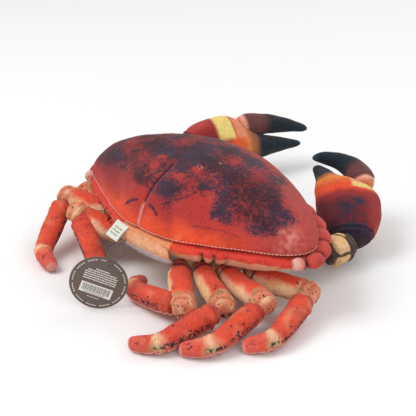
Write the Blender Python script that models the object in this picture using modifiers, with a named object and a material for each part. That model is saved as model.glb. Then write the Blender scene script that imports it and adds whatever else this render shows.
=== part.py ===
"""Plush crab: a stuffed toy edible crab of printed short-pile plush.

Metres, +Z up. The crab looks along -Y, and its own right side is -X.
The origin is on the floor, in the middle of the flat spot of the belly.
Every sewn and stuffed piece is one closed solid. A piece that is sewn to
another is cut by that neighbour, grown by SEAM_GAP, so it seats all over.
"""
import math

import bmesh
import bpy
from mathutils import Matrix, Vector

# Driving dimensions
SEAM_GAP = 0.0003            # clearance between two pieces sewn face to face
REST_SHARE = 0.15            # the flat resting spot, as a share of the shell's outline

SHELL_HALF_WIDTH = 0.127     # midline to a side corner of the shell
SHELL_REAR = 0.071           # from the origin back to the shell's rear edge
SHELL_FRONT = 0.067          # from the origin forward to the shell's front edge
CORNER_BACK = 0.018          # how far behind the origin the side corners lie
SEAM_HEIGHT = 0.055          # floor to the seam between shell and belly
DOME_HEIGHT = 0.050          # seam to the top of the shell
EDGE_THICKNESS = 0.0030      # the shell at its edge, before the dome starts
DOME_FLAT = 2.3              # a larger value makes the crown flatter
DOME_ROUND = 0.62            # a smaller value makes the shoulder steeper

UPPER_LENGTH = 0.058         # leg: hip to knee
SHANK_LENGTH = 0.058         # leg: knee to the bend before the tip
TIP_LENGTH = 0.026           # leg: bend to the end of the tip
HIP_RADIUS = 0.0080
HIP_IN = 0.0080              # how far inside its hip a leg starts, before the belly cuts it
HIP_UP = 0.0040              # and how far above its hip
UPPER_RADIUS = 0.0102
KNEE_RADIUS = 0.0105
SHANK_RADIUS = 0.0096
BEND_RADIUS = 0.0082
TIP_RADIUS = 0.0050
SHANK_BACK = 0.0050          # how far before the knee's middle the shank starts
SHANK_AHEAD = 0.0040         # and how far it starts along its own heading

ARM_RADIUS = 0.0135
ARM_SEAT = 0.0080            # how far an arm starts inside its shoulder, before the belly cuts it
WRIST_RADIUS = 0.0135
PALM_LENGTH = 0.066          # claw: wrist to the root of the fingers
PALM_HALF_WIDTH = 0.0302
PALM_HALF_THICK = 0.0200
FINGER_RADIUS = 0.0122       # half width at a finger's root
FINGER_THICK = 0.0125        # half thickness there
FINGER_TIP_RADIUS = 0.0030
FINGER_ROOT = 0.97           # where the movable finger starts, as a share of the palm
FIXED_ROOT = 0.88            # where the fixed finger starts

LOBES = 7                    # lobes of the frill on each side
LOBE_REACH = 0.0120          # half width of a lobe, in the plane of the seam
LOBE_HALF_THICK = 0.0066
FRILL_DROP = 0.0040          # middle of the frill below the seam

FLAP_HALF_WIDTH = 0.028
FLAP_HALF_THICK = 0.0040

EYE_RADIUS = 0.0042
EYE_SPACING = 0.026          # between the two eyes
FACE_HALF_WIDTH = 0.026
FACE_HALF_THICK = 0.0085
FACE_HEIGHT = 0.80 * SEAM_HEIGHT
FACE_BEHIND = 0.002          # middle of the mouth piece behind the front edge
FACE_BEND = 0.004            # how far its ends lie further back
EYE_OUT = 0.35 * EYE_RADIUS  # a bead's middle in front of the mouth piece
EYE_UP = 0.3 * FACE_HALF_THICK

TAG_RADIUS = 0.0235
TAG_THICKNESS = 0.0007
TAG_HOLE_RADIUS = 0.0014
TAG_HOLE_INSET = 0.0040      # from the tag's edge to the middle of the hole
TAG_YAW = 43.5               # degrees that the tag's face is turned about +Z
TAG_ROLL = -31.0             # degrees that the hole is turned from straight up
TAG_CENTRE = (0.0075, 0.1140, 0.0240)
LOOP_DIAMETER = 0.0012
LABEL_WIDTH = 0.017
LABEL_LENGTH = 0.019
LABEL_THICKNESS = 0.0008
LABEL_BESIDE = 0.027         # the label's root, beside the midline
LABEL_SEWN_IN = 0.007        # how deep its root lies inside the rear edge
LABEL_DROOP = 0.0012         # how far its free end bows down
LABEL_WAY = (0.10, 0.84, -0.54)
LABEL_ACROSS = (-0.97, 0.22, 0.0)

SHELL_COLUMNS = 24           # cage columns round the shell
LIMB_SIDES = 6               # cage sides of a leg, a frill or a flap
CLAW_SIDES = 8               # cage sides of a claw's pieces

# The shell's outline from the rear middle to the side corner, and from there
# to the front middle: share of the half width, share of the reach
REAR_OUTLINE = ((0.0, 1.0), (0.22, 0.97), (0.52, 0.62), (0.78, 0.28), (1.0, -0.02))
FRONT_OUTLINE = ((0.92, 0.30), (0.79, 0.53), (0.61, 0.73), (0.39, 0.89), (0.16, 0.98), (0.0, 1.0))

# The belly's side profile: share of the outline, share of the seam height
BELLY_PROFILE = (
    (1.0, 0.95), (0.985, 0.84), (0.92, 0.72), (0.78, 0.60), (0.60, 0.46), (0.44, 0.30), (0.33, 0.14),
)

# How each leg lies. Name, hip, then heading and fall of the upper part in
# degrees, heading of the shank and of the tip, and the sag: 1 is a straight
# shank, more drops to the floor sooner
LEG_POSES = (
    ("leg_right_1", (-0.070, 0.023, 0.023), -160, 4, 104, 52, 1.3),
    ("leg_right_2", (-0.052, 0.036, 0.024), 174, 5, 92, 42, 1.3),
    ("leg_right_3", (-0.036, 0.046, 0.025), 157, 6, 82, 29, 1.3),
    ("leg_right_4", (-0.022, 0.056, 0.025), 141, 6, -3, -62, 1.3),
    ("leg_left_1", (0.076, -0.012, 0.027), 9, -2, -85, -120, 1.3),
    ("leg_left_2", (0.076, 0.011, 0.029), 9, -3, 140, 165, 4.0),
    ("leg_left_3", (0.074, 0.034, 0.0330), 10, -4, 115, 160, 1.0),
    ("leg_left_4", (0.0450, 0.0480, 0.0240), 13, -14, 158, 135, 1.0),
)

# How each claw lies: its shoulder, elbow and wrist, the way the palm points and
# the way the movable finger opens. Then, for the movable and the fixed finger:
# distance of the root from the palm's midline, length, and curl in degrees
CLAW_POSES = (
    ("claw_right", (-0.068, -0.030, 0.027), (-0.086, -0.060, 0.018), (-0.092, -0.085, 0.019),
     (0.628, -0.662, 0.407), (-0.725, -0.688, 0.0), (0.0150, 0.064, 110), (-0.0155, 0.035, 40)),
    ("claw_left", (0.070, -0.038, 0.029), (0.100, -0.064, 0.031), (0.118, -0.092, 0.037),
     (-0.346, -0.938, 0.010), (0.45, -0.17, 0.87), (0.0145, 0.076, 24), (-0.0075, 0.070, 10)),
)

# Hand-placed routes of the tag's loop: from the seam to the front of the
# tag's hole, and from the back of the hole up to the seam again
LOOP_FRONT = (
    (0.0173, 0.0748, 0.0435), (0.0125, 0.0812, 0.0468), (0.0070, 0.0862, 0.0495), (-0.0005, 0.0925, 0.0496),
    (-0.0056, 0.0992, 0.0485), (-0.0068, 0.1050, 0.0470),
)
LOOP_BACK = (
    (0.0088, 0.1005, 0.0435), (0.0150, 0.0980, 0.0420), (0.0205, 0.0930, 0.0400),
    (0.0262, 0.0830, 0.0388), (0.0255, 0.0714, 0.0410),
)
LOOP_LEAD = 0.0035           # how far the loop runs straight out of the hole


def clear_scene():
    for item in list(bpy.data.objects):
        bpy.data.objects.remove(item, do_unlink=True)


def new_group(name):
    group = bpy.data.collections.new(name)
    bpy.context.scene.collection.children.link(group)
    return group


def material(name, colour, roughness):
    made = bpy.data.materials.new(name)
    made.use_nodes = True
    shader = made.node_tree.nodes["Principled BSDF"]
    shader.inputs["Base Color"].default_value = (*colour, 1.0)
    shader.inputs["Roughness"].default_value = roughness
    shader.inputs["Metallic"].default_value = 0.0
    return made


def blend_points(near, t):
    """Point at share t between the middle two of four values, on a smooth curve."""
    before, start, end, after = near
    return 0.5 * (2 * start + (end - before) * t
                  + (2 * before - 5 * start + 4 * end - after) * t * t
                  + (3 * start - before - 3 * end + after) * t ** 3)


def spline(points, steps, closed=False):
    """Values along a smooth curve through the given vectors or numbers."""
    count = len(points)
    out = []
    for i in range(count if closed else count - 1):
        if closed:
            near = [points[(i + k) % count] for k in (-1, 0, 1, 2)]
        else:
            near = [points[min(max(i + k, 0), count - 1)] for k in (-1, 0, 1, 2)]
        out.extend(blend_points(near, step / steps) for step in range(steps))
    if not closed:
        out.append(points[-1])
    return out


def evenly(points, count):
    """The given number of points at equal steps along a polyline, ends kept."""
    lengths = [0.0]
    for a, b in zip(points, points[1:]):
        lengths.append(lengths[-1] + (b - a).length)
    out = []
    k = 0
    for i in range(count):
        want = lengths[-1] * i / (count - 1)
        while k < len(points) - 2 and lengths[k + 1] < want:
            k += 1
        share = (want - lengths[k]) / (lengths[k + 1] - lengths[k])
        out.append(points[k].lerp(points[k + 1], share))
    return out


def heading(azimuth, fall=0.0):
    """Unit vector of a heading in the floor plane, falling by some degrees."""
    a = math.radians(azimuth)
    f = math.radians(fall)
    return Vector((math.cos(a) * math.cos(f), math.sin(a) * math.cos(f), -math.sin(f)))


def ring_solid(name, rings, group, skin, levels=1):
    """A soft closed solid from a coarse cage of rings, with a face at each end."""
    cage = bmesh.new()
    loops = [[cage.verts.new(p) for p in ring] for ring in rings]
    sides = len(rings[0])
    for lower, upper in zip(loops, loops[1:]):
        for i in range(sides):
            j = (i + 1) % sides
            cage.faces.new((lower[i], lower[j], upper[j], upper[i]))
    cage.faces.new(list(reversed(loops[0])))
    cage.faces.new(loops[-1])
    bmesh.ops.recalc_face_normals(cage, faces=cage.faces)
    data = bpy.data.meshes.new(name)
    cage.to_mesh(data)
    cage.free()
    data.shade_smooth()
    made = bpy.data.objects.new(name, data)
    group.objects.link(made)
    if skin is not None:
        data.materials.append(skin)
    soften = made.modifiers.new("soften", "SUBSURF")
    soften.levels = levels
    soften.render_levels = levels
    facets = made.modifiers.new("facets", "TRIANGULATE")
    facets.quad_method = "SHORTEST_DIAGONAL"
    return made


def limb_rings(route, sizes, across, sides, grow=0.0, ways=None):
    """Cage rings along a route. A size is a half width and a half thickness, and
    across is the way of the width at each point. The cage stands outside the
    finished skin, which subdivision draws in."""
    swell = 1.0 / math.cos(math.pi / sides)
    last = len(route) - 1
    rings = []
    for i, middle in enumerate(route):
        along = ways[i] if ways else (route[min(i + 1, last)] - route[max(i - 1, 0)]).normalized()
        wide = (across[i] - along * across[i].dot(along)).normalized()
        thick = along.cross(wide)
        end_grow = grow if i == last else -grow if i == 0 else 0.0
        half_width, half_thick = sizes[i]
        ring = []
        for k in range(sides):
            angle = 2 * math.pi * (k + 0.5) / sides
            ring.append(middle + along * end_grow
                        + wide * (half_width + grow) * swell * math.cos(angle)
                        + thick * (half_thick + grow) * swell * math.sin(angle))
        rings.append(ring)
    return rings


def cut_by(piece, title, cutter):
    """Take the space of a guide object out of a piece."""
    cut = piece.modifiers.new(title, "BOOLEAN")
    cut.operation = "DIFFERENCE"
    cut.solver = "EXACT"
    cut.object = cutter


def as_guide(guide):
    """A guide only cuts: it never renders."""
    guide.hide_render = True
    guide.display_type = "WIRE"


class Workshop:
    """Builds the sewn pieces, and the grown copies of them that cut neighbours."""

    def __init__(self):
        self.parts = new_group("plush_crab")
        self.guides = new_group("plush_crab_cutters")
        self.cutters = {}

    def sew(self, name, build_rings, skin, neighbours=()):
        """Add a piece, cut back to the neighbours that it is sewn to."""
        piece = ring_solid(name, build_rings(0.0), self.parts, skin)
        grown = ring_solid(name + "_grown", build_rings(SEAM_GAP), self.guides, None)
        as_guide(grown)
        self.cutters[name] = grown
        for other in neighbours:
            cut_by(piece, "seat_on_" + other, self.cutters[other])


def shell_outline():
    """Plan of the shell's edge, from the rear middle round by the left side."""
    half = []
    for across, back in REAR_OUTLINE:
        y = CORNER_BACK + back * (SHELL_REAR - CORNER_BACK)
        half.append(Vector((across * SHELL_HALF_WIDTH, y, 0)))
    for across, fore in FRONT_OUTLINE:
        y = CORNER_BACK - fore * (SHELL_FRONT + CORNER_BACK)
        half.append(Vector((across * SHELL_HALF_WIDTH, y, 0)))
    other = [Vector((-p.x, p.y, 0)) for p in reversed(half[1:-1])]
    curve = spline(half + other, 8, closed=True)
    left = evenly(curve[:len(curve) // 2 + 1], SHELL_COLUMNS // 2 + 1)
    right = [Vector((-p.x, p.y, 0)) for p in reversed(left[1:-1])]
    return left + right


def body_ring(outline, share, height, grow=0.0):
    """A ring of shell or belly: the outline drawn in to a share of its reach."""
    return [p * share + p.normalized() * grow + Vector((0, 0, height)) for p in outline]


def shell_rings(outline, grow):
    """Flat underside on the seam plane, then the dome up to its crown."""
    floor = SEAM_HEIGHT + SEAM_GAP / 2 - grow
    rings = [body_ring(outline, share, floor) for share in (0.35, 0.75)]
    rings.append(body_ring(outline, 0.97, floor, grow))
    for share in (1.02, 0.93, 0.79, 0.60, 0.38, 0.16):
        rise = DOME_HEIGHT * (1.0 - min(share, 1.0) ** DOME_FLAT) ** DOME_ROUND
        rings.append(body_ring(outline, share, floor + EDGE_THICKNESS + rise + 2 * grow, grow))
    return rings


def belly_rings(outline, grow):
    """Flat top on the seam plane, full sides, and the small flat resting spot."""
    top = SEAM_HEIGHT - SEAM_GAP / 2 + grow
    rings = [body_ring(outline, share, top) for share in (0.40, 0.80)]
    rings.append(body_ring(outline, 0.97, top, grow))
    for share, height in BELLY_PROFILE:
        rings.append(body_ring(outline, share, height * SEAM_HEIGHT - grow, grow))
    for share in (1.7 * REST_SHARE, REST_SHARE):
        rings.append(body_ring(outline, share, -grow, grow))
    return rings


def frill_rings(outline, side, grow):
    """The lobed edge under the front side of the shell, corner to front."""
    corner = SHELL_COLUMNS // 4 - 1
    front = SHELL_COLUMNS // 2 - 1
    plan = [Vector((p.x * side, p.y, 0)) for p in outline[corner:front + 1]]
    edge = evenly(spline(plan, 4), 2 * LOBES + 1)
    route = [p + Vector((0, 0, SEAM_HEIGHT - FRILL_DROP)) for p in edge]
    sizes = []
    for i in range(len(route)):
        full = 1.0 if i % 2 else 0.66
        taper = min(1.0, 0.5 + 0.25 * min(i, len(route) - 1 - i))
        sizes.append((LOBE_REACH * full * taper, LOBE_HALF_THICK * (0.4 + 0.6 * full)))
    return limb_rings(route, sizes, edge, LIMB_SIDES, grow)


def flap_rings(outline, grow):
    """The tail flap, bent round the rear edge and tucked under the belly."""
    rear = SHELL_REAR
    line = ((rear + 0.001, 0.86), (rear + 0.0015, 0.72), (rear - 0.008, 0.58), (rear - 0.024, 0.46))
    route = [Vector((0, y, share * SEAM_HEIGHT)) for y, share in line]
    widths = (0.8, 1.0, 0.86, 0.62)
    sizes = [(FLAP_HALF_WIDTH * w, FLAP_HALF_THICK) for w in widths]
    return limb_rings(route, sizes, [Vector((1, 0, 0))] * len(route), LIMB_SIDES, grow)


def leg_points(hip, azimuth, fall, shank, tip, sag):
    """Centre lines of the upper part and of the lower part of one leg."""
    start = Vector(hip)
    way = heading(azimuth, fall)
    knee = start + way * UPPER_LENGTH
    seat = Vector((-hip[0], -hip[1], 0)).normalized() * HIP_IN + Vector((0, 0, HIP_UP))
    upper = [start + seat, start + way * 0.30 * UPPER_LENGTH, start + way * 0.62 * UPPER_LENGTH,
             knee - way * 0.10 * UPPER_LENGTH, knee + way * 0.35 * KNEE_RADIUS]
    low_way = heading(shank)
    root = knee - way * SHANK_BACK + low_way * SHANK_AHEAD
    drop = knee.z - SHANK_RADIUS
    reach = math.sqrt(SHANK_LENGTH ** 2 - drop ** 2)
    lower = []
    for share in (0.06, 0.24, 0.50, 0.76, 1.0):
        height = SHANK_RADIUS + drop * (1.0 - share) ** sag
        lower.append(Vector((root.x, root.y, height)) + low_way * reach * share)
    tip_way = heading(tip)
    for share, low in ((0.40, 0.3), (0.75, 0.7), (1.0, 1.0)):
        sink = (SHANK_RADIUS - TIP_RADIUS) * low
        turn = low_way.lerp(tip_way, min(1.0, 0.55 + 0.6 * share)).normalized()
        lower.append(lower[4] + turn * TIP_LENGTH * share - Vector((0, 0, sink)))
    return upper, lower


def leg_upper_rings(route, grow):
    radii = (HIP_RADIUS, UPPER_RADIUS, UPPER_RADIUS, KNEE_RADIUS, 0.72 * KNEE_RADIUS)
    up = [Vector((0, 0, 1))] * len(route)
    return limb_rings(route, [(r, r) for r in radii], up, LIMB_SIDES, grow)


def leg_lower_rings(route, grow):
    middle = (BEND_RADIUS + TIP_RADIUS) / 2
    radii = (0.86 * SHANK_RADIUS, SHANK_RADIUS, SHANK_RADIUS, 0.95 * SHANK_RADIUS, BEND_RADIUS,
             (BEND_RADIUS + middle) / 2, middle, TIP_RADIUS)
    up = [Vector((0, 0, 1))] * len(route)
    return limb_rings(route, [(r, r) for r in radii], up, LIMB_SIDES, grow)


def arc_route(start, along, aside, curl, length, steps):
    """Points of an arc that leaves along one way and curls to another, and its
    heading at each point."""
    turn = math.radians(curl)
    radius = length / turn
    points = []
    ways = []
    for i in range(steps + 1):
        angle = turn * i / steps
        points.append(start + along * radius * math.sin(angle) + aside * radius * (1.0 - math.cos(angle)))
        ways.append(along * math.cos(angle) + aside * math.sin(angle))
    return points, ways


def claw_frame(palm_way, open_way):
    """Unit vectors along the palm and across it, square to each other."""
    along = Vector(palm_way).normalized()
    wide = Vector(open_way)
    return along, (wide - along * wide.dot(along)).normalized()


def hand_rings(wrist, along, wide, finger, grow):
    """Palm and fixed finger in one: full at the palm, then drawn in to one side."""
    spread, length, curl = finger
    root = wrist + along * PALM_LENGTH * FIXED_ROOT + wide * spread
    points, ways = arc_route(root, along, -wide, curl, length, 4)
    palm = ((0.0, 0.40, 0.58), (0.16, 0.78, 0.84), (0.50, 1.0, 1.0), (0.91, 0.98, 0.80))
    route = [wrist + along * PALM_LENGTH * share for share, _, _ in palm] + points[1:]
    sizes = [(PALM_HALF_WIDTH * w, PALM_HALF_THICK * t) for _, w, t in palm]
    sizes += [(FINGER_RADIUS * s, FINGER_THICK * s) for s in (1.08, 0.78, 0.52)]
    sizes.append((FINGER_TIP_RADIUS, FINGER_TIP_RADIUS))
    return limb_rings(route, sizes, [wide] * len(route), CLAW_SIDES, grow, [along] * len(palm) + ways[1:])


def finger_rings(wrist, along, wide, finger, grow):
    """The movable finger, from the outer shoulder of the palm to its tip."""
    spread, length, curl = finger
    root = wrist + along * PALM_LENGTH * FINGER_ROOT + wide * spread
    route, ways = arc_route(root, along, -wide, curl, length, 6)
    sizes = [(FINGER_RADIUS * s, FINGER_THICK * s) for s in (1.0, 1.0, 0.88, 0.74, 0.60, 0.44)]
    sizes.append((FINGER_TIP_RADIUS, FINGER_TIP_RADIUS))
    return limb_rings(route, sizes, [wide] * len(route), CLAW_SIDES, grow, ways)


def arm_rings(shoulder, elbow, grow):
    way = (elbow - shoulder).normalized()
    route = [shoulder - way * ARM_SEAT, shoulder.lerp(elbow, 0.5), elbow]
    sizes = [(ARM_RADIUS * s, ARM_RADIUS * s) for s in (0.85, 1.0, 0.95)]
    return limb_rings(route, sizes, [Vector((0, 0, 1))] * 3, CLAW_SIDES, grow)


def wrist_rings(elbow, wrist, grow):
    way = (wrist - elbow).normalized()
    route = [elbow - way * 0.35 * WRIST_RADIUS, elbow.lerp(wrist, 0.45), wrist]
    sizes = [(WRIST_RADIUS * s, WRIST_RADIUS * s) for s in (0.90, 1.06, 0.80)]
    return limb_rings(route, sizes, [Vector((0, 0, 1))] * 3, CLAW_SIDES, grow)


def face_rings(grow):
    """The padded mouth piece, lying across under the front edge of the shell."""
    middle = FACE_BEHIND - SHELL_FRONT
    route = [Vector((x * FACE_HALF_WIDTH, middle + FACE_BEND * abs(x), FACE_HEIGHT))
             for x in (-1.0, -0.6, 0.0, 0.6, 1.0)]
    sizes = [(FACE_HALF_THICK * s, FACE_HALF_THICK * s) for s in (0.62, 0.95, 1.05, 0.95, 0.62)]
    return limb_rings(route, sizes, [Vector((0, 0, 1))] * len(route), LIMB_SIDES, grow)


def eye(shop, name, side, skin):
    """A small bead set on the front of the mouth piece."""
    ball = bmesh.new()
    bmesh.ops.create_uvsphere(ball, u_segments=12, v_segments=8, radius=EYE_RADIUS)
    data = bpy.data.meshes.new(name)
    ball.to_mesh(data)
    ball.free()
    data.shade_smooth()
    data.materials.append(skin)
    made = bpy.data.objects.new(name, data)
    forward = FACE_BEHIND - SHELL_FRONT - FACE_HALF_THICK - EYE_OUT
    made.location = (side * EYE_SPACING / 2, forward, FACE_HEIGHT + EYE_UP)
    shop.parts.objects.link(made)
    cut_by(made, "seat_on_face", shop.cutters["face"])


def tag_place():
    """The tag's place: its face stands upright, turned to the crab's right rear."""
    stand = Matrix.Rotation(math.radians(90), 4, "X")
    roll = Matrix.Rotation(math.radians(TAG_ROLL), 4, "Z")
    yaw = Matrix.Rotation(math.radians(180 + TAG_YAW), 4, "Z")
    return Matrix.Translation(TAG_CENTRE) @ yaw @ stand @ roll


def hang_tag(shop, skin):
    """A round card with a punched hole near its edge."""
    card = bmesh.new()
    bmesh.ops.create_cone(card, cap_ends=True, segments=48, radius1=TAG_RADIUS,
                          radius2=TAG_RADIUS, depth=TAG_THICKNESS)
    data = bpy.data.meshes.new("hang_tag")
    card.to_mesh(data)
    card.free()
    data.materials.append(skin)
    made = bpy.data.objects.new("hang_tag", data)
    shop.parts.objects.link(made)
    punch = bmesh.new()
    bmesh.ops.create_cone(punch, cap_ends=True, segments=16, radius1=TAG_HOLE_RADIUS,
                          radius2=TAG_HOLE_RADIUS, depth=4 * TAG_THICKNESS,
                          matrix=Matrix.Translation((0, TAG_RADIUS - TAG_HOLE_INSET, 0)))
    punch_data = bpy.data.meshes.new("tag_punch")
    punch.to_mesh(punch_data)
    punch.free()
    cutter = bpy.data.objects.new("tag_punch", punch_data)
    as_guide(cutter)
    shop.guides.objects.link(cutter)
    cutter.parent = made
    cut_by(made, "punched_hole", cutter)
    made.matrix_world = tag_place()


def tag_loop(shop, skin):
    """The thin cord that carries the tag: out of the seam, through the hole, back."""
    place = tag_place()
    hole = place @ Vector((0, TAG_RADIUS - TAG_HOLE_INSET, 0))
    lead = place.to_3x3() @ Vector((0, 0, LOOP_LEAD))
    points = [Vector(p) for p in LOOP_FRONT] + [hole + lead, hole, hole - lead]
    points += [Vector(p) for p in LOOP_BACK]
    route = evenly(spline(points, 8), 38)
    curve = bpy.data.curves.new("tag_loop", "CURVE")
    curve.dimensions = "3D"
    curve.bevel_depth = LOOP_DIAMETER / 2
    curve.bevel_resolution = 2
    curve.use_fill_caps = True
    line = curve.splines.new("POLY")
    line.points.add(len(route) - 1)
    for point, place in zip(line.points, route):
        point.co = (*place, 1.0)
    curve.materials.append(skin)
    shop.parts.objects.link(bpy.data.objects.new("tag_loop", curve))


def seam_label(shop, skin):
    """A small folded ribbon label that stands out of the rear seam and droops."""
    root = Vector((LABEL_BESIDE, SHELL_REAR - LABEL_SEWN_IN, SEAM_HEIGHT))
    out = Vector(LABEL_WAY).normalized()
    half = Vector(LABEL_ACROSS).normalized() * LABEL_WIDTH / 2
    card = bmesh.new()
    rows = []
    for share in (0.0, 0.25, 0.5, 0.75, 1.0):
        middle = root + out * LABEL_LENGTH * share
        middle.z -= LABEL_DROOP * share ** 2
        rows.append((card.verts.new(middle - half), card.verts.new(middle + half)))
    for low, high in zip(rows, rows[1:]):
        card.faces.new((low[0], low[1], high[1], high[0]))
    data = bpy.data.meshes.new("seam_label")
    card.to_mesh(data)
    card.free()
    data.materials.append(skin)
    made = bpy.data.objects.new("seam_label", data)
    shop.parts.objects.link(made)
    thick = made.modifiers.new("ribbon", "SOLIDIFY")
    thick.thickness = LABEL_THICKNESS
    thick.offset = 0.0
    for other in ("belly", "carapace", "abdomen_flap"):
        cut_by(made, "seat_on_" + other, shop.cutters[other])


def build_body(shop, outline):
    red = material("printed plush, red", (0.42, 0.045, 0.025), 0.85)
    cream = material("printed plush, cream", (0.70, 0.42, 0.26), 0.85)
    rose = material("printed plush, rose", (0.55, 0.10, 0.08), 0.85)
    orange = material("printed plush, orange", (0.62, 0.20, 0.07), 0.85)
    black = material("bead, black", (0.01, 0.01, 0.01), 0.15)
    shop.sew("carapace", lambda grow: shell_rings(outline, grow), red)
    shop.sew("belly", lambda grow: belly_rings(outline, grow), cream)
    both = ("carapace", "belly")
    shop.sew("abdomen_flap", lambda grow: flap_rings(outline, grow), orange, both)
    shop.sew("frill_left", lambda grow: frill_rings(outline, 1, grow), rose, both)
    shop.sew("frill_right", lambda grow: frill_rings(outline, -1, grow), rose, both)
    shop.sew("face", face_rings, rose, both + ("frill_left", "frill_right"))
    eye(shop, "eye_left", 1, black)
    eye(shop, "eye_right", -1, black)


def build_legs(shop):
    top = material("printed plush, leg", (0.60, 0.11, 0.04), 0.85)
    before = None
    for name, hip, azimuth, fall, shank, tip, sag in LEG_POSES:
        upper, lower = leg_points(hip, azimuth, fall, shank, tip, sag)
        near = ["belly"]
        if name.endswith("4"):
            near.append("abdomen_flap")
        if before and before[:-2] == name[:-2]:
            near.append(before + "_upper")
        before = name
        shop.sew(name + "_upper", lambda grow, r=upper: leg_upper_rings(r, grow), top, near)
        shop.sew(name + "_lower", lambda grow, r=lower: leg_lower_rings(r, grow), top, [name + "_upper"])


def build_claws(shop):
    dark = material("printed plush, charcoal", (0.045, 0.028, 0.040), 0.85)
    patch = material("printed plush, yellow", (0.66, 0.42, 0.14), 0.85)
    palm = material("printed plush, claw red", (0.36, 0.035, 0.022), 0.85)
    for name, shoulder, elbow, wrist, palm_way, open_way, finger, fixed in CLAW_POSES:
        along, wide = claw_frame(palm_way, open_way)
        joints = [Vector(point) for point in (shoulder, elbow, wrist)]
        frill = name.replace("claw", "frill")
        arm = name + "_arm"
        carpus = name + "_wrist"
        hand = name + "_hand"
        shop.sew(arm, lambda grow: arm_rings(joints[0], joints[1], grow), dark, ["belly", frill])
        shop.sew(carpus, lambda grow: wrist_rings(joints[1], joints[2], grow), patch, [arm, frill])
        shop.sew(hand, lambda grow: hand_rings(joints[2], along, wide, fixed, grow), palm, [carpus, arm])
        shop.sew(name + "_finger", lambda grow: finger_rings(joints[2], along, wide, finger, grow),
                 dark, [hand])


def build_tags(shop):
    white = material("woven ribbon, white", (0.80, 0.80, 0.78), 0.6)
    card = material("printed card, brown", (0.10, 0.062, 0.048), 0.5)
    cord = material("cord, grey", (0.06, 0.06, 0.08), 0.5)
    seam_label(shop, white)
    hang_tag(shop, card)
    tag_loop(shop, cord)


def main():
    clear_scene()
    shop = Workshop()
    outline = shell_outline()
    build_body(shop, outline)
    build_legs(shop)
    build_claws(shop)
    build_tags(shop)


main()
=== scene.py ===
"""Looks of the plush crab: printed short-pile plush, seams, stitches, label and hang tag.

Metres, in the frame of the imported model: +Z up, the crab looks along -Y, and its
own right side is -X. The pieces are built from the same rings as the solids,
but finer, and are then puckered, creased and painted with vertex attributes.
"""
import math

import bmesh
import bpy
import numpy as np
from mathutils import Matrix, Vector, noise
from mathutils.bvhtree import BVHTree


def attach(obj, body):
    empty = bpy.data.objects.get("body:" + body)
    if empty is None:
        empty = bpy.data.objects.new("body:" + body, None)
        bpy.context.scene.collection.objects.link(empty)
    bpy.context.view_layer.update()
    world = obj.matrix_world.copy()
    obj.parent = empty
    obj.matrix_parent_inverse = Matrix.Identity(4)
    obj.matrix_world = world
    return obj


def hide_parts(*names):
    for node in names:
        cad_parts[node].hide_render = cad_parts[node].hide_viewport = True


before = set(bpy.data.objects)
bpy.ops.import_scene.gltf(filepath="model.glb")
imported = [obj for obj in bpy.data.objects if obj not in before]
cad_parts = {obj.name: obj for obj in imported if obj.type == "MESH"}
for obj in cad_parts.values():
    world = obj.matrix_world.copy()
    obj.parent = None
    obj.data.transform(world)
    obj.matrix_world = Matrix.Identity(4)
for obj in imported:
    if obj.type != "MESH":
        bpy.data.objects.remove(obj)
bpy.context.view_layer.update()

# Sizes of the solids
SEAM_GAP = 0.0003
REST_SHARE = 0.15
SHELL_HALF_WIDTH = 0.127
SHELL_REAR = 0.071
SHELL_FRONT = 0.067
CORNER_BACK = 0.018
SEAM_HEIGHT = 0.055
DOME_HEIGHT = 0.050
EDGE_THICKNESS = 0.0030
DOME_FLAT = 2.3
DOME_ROUND = 0.62
UPPER_LENGTH = 0.058
SHANK_LENGTH = 0.058
TIP_LENGTH = 0.026
HIP_RADIUS = 0.0080
HIP_IN = 0.0080
HIP_UP = 0.0040
UPPER_RADIUS = 0.0102
KNEE_RADIUS = 0.0105
SHANK_RADIUS = 0.0096
BEND_RADIUS = 0.0082
TIP_RADIUS = 0.0050
SHANK_BACK = 0.0050
SHANK_AHEAD = 0.0040
ARM_RADIUS = 0.0135
ARM_SEAT = 0.0080
WRIST_RADIUS = 0.0135
PALM_LENGTH = 0.066
PALM_HALF_WIDTH = 0.0302
PALM_HALF_THICK = 0.0200
FINGER_RADIUS = 0.0122
FINGER_THICK = 0.0125
FINGER_TIP_RADIUS = 0.0030
FINGER_ROOT = 0.97
FIXED_ROOT = 0.88
LOBES = 7
LOBE_REACH = 0.0120
LOBE_HALF_THICK = 0.0066
LOBE_GROWTH = 1.3
FRILL_DROP = 0.0040
FRILL_LIFT = Vector((0, 0, SEAM_HEIGHT - FRILL_DROP))
FLAP_HALF_WIDTH = 0.028
FLAP_HALF_THICK = 0.0040
EYE_RADIUS = 0.0042
EYE_SPACING = 0.026
FACE_HALF_WIDTH = 0.026
FACE_HALF_THICK = 0.0085
FACE_HEIGHT = 0.80 * SEAM_HEIGHT
FACE_BEHIND = 0.002
FACE_BEND = 0.004
EYE_OUT = 0.35 * EYE_RADIUS
EYE_UP = 0.3 * FACE_HALF_THICK
TAG_RADIUS = 0.0235
TAG_THICKNESS = 0.0007
TAG_HOLE_RADIUS = 0.0014
TAG_HOLE_INSET = 0.0040
TAG_YAW = 43.5
TAG_ROLL = -31.0
TAG_CENTRE = (0.0075, 0.1140, 0.0240)
LOOP_DIAMETER = 0.0012
LOOP_LEAD = 0.0035
LABEL_WIDTH = 0.017
LABEL_LENGTH = 0.019
LABEL_BESIDE = 0.027
LABEL_SEWN_IN = 0.007
LABEL_DROOP = 0.0012
LABEL_WAY = (0.10, 0.84, -0.54)
LABEL_ACROSS = (-0.97, 0.22, 0.0)
SHELL_COLUMNS = 24
LIMB_SIDES = 6
CLAW_SIDES = 8
REAR_OUTLINE = ((0.0, 1.0), (0.22, 0.97), (0.52, 0.62), (0.78, 0.28), (1.0, -0.02))
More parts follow.
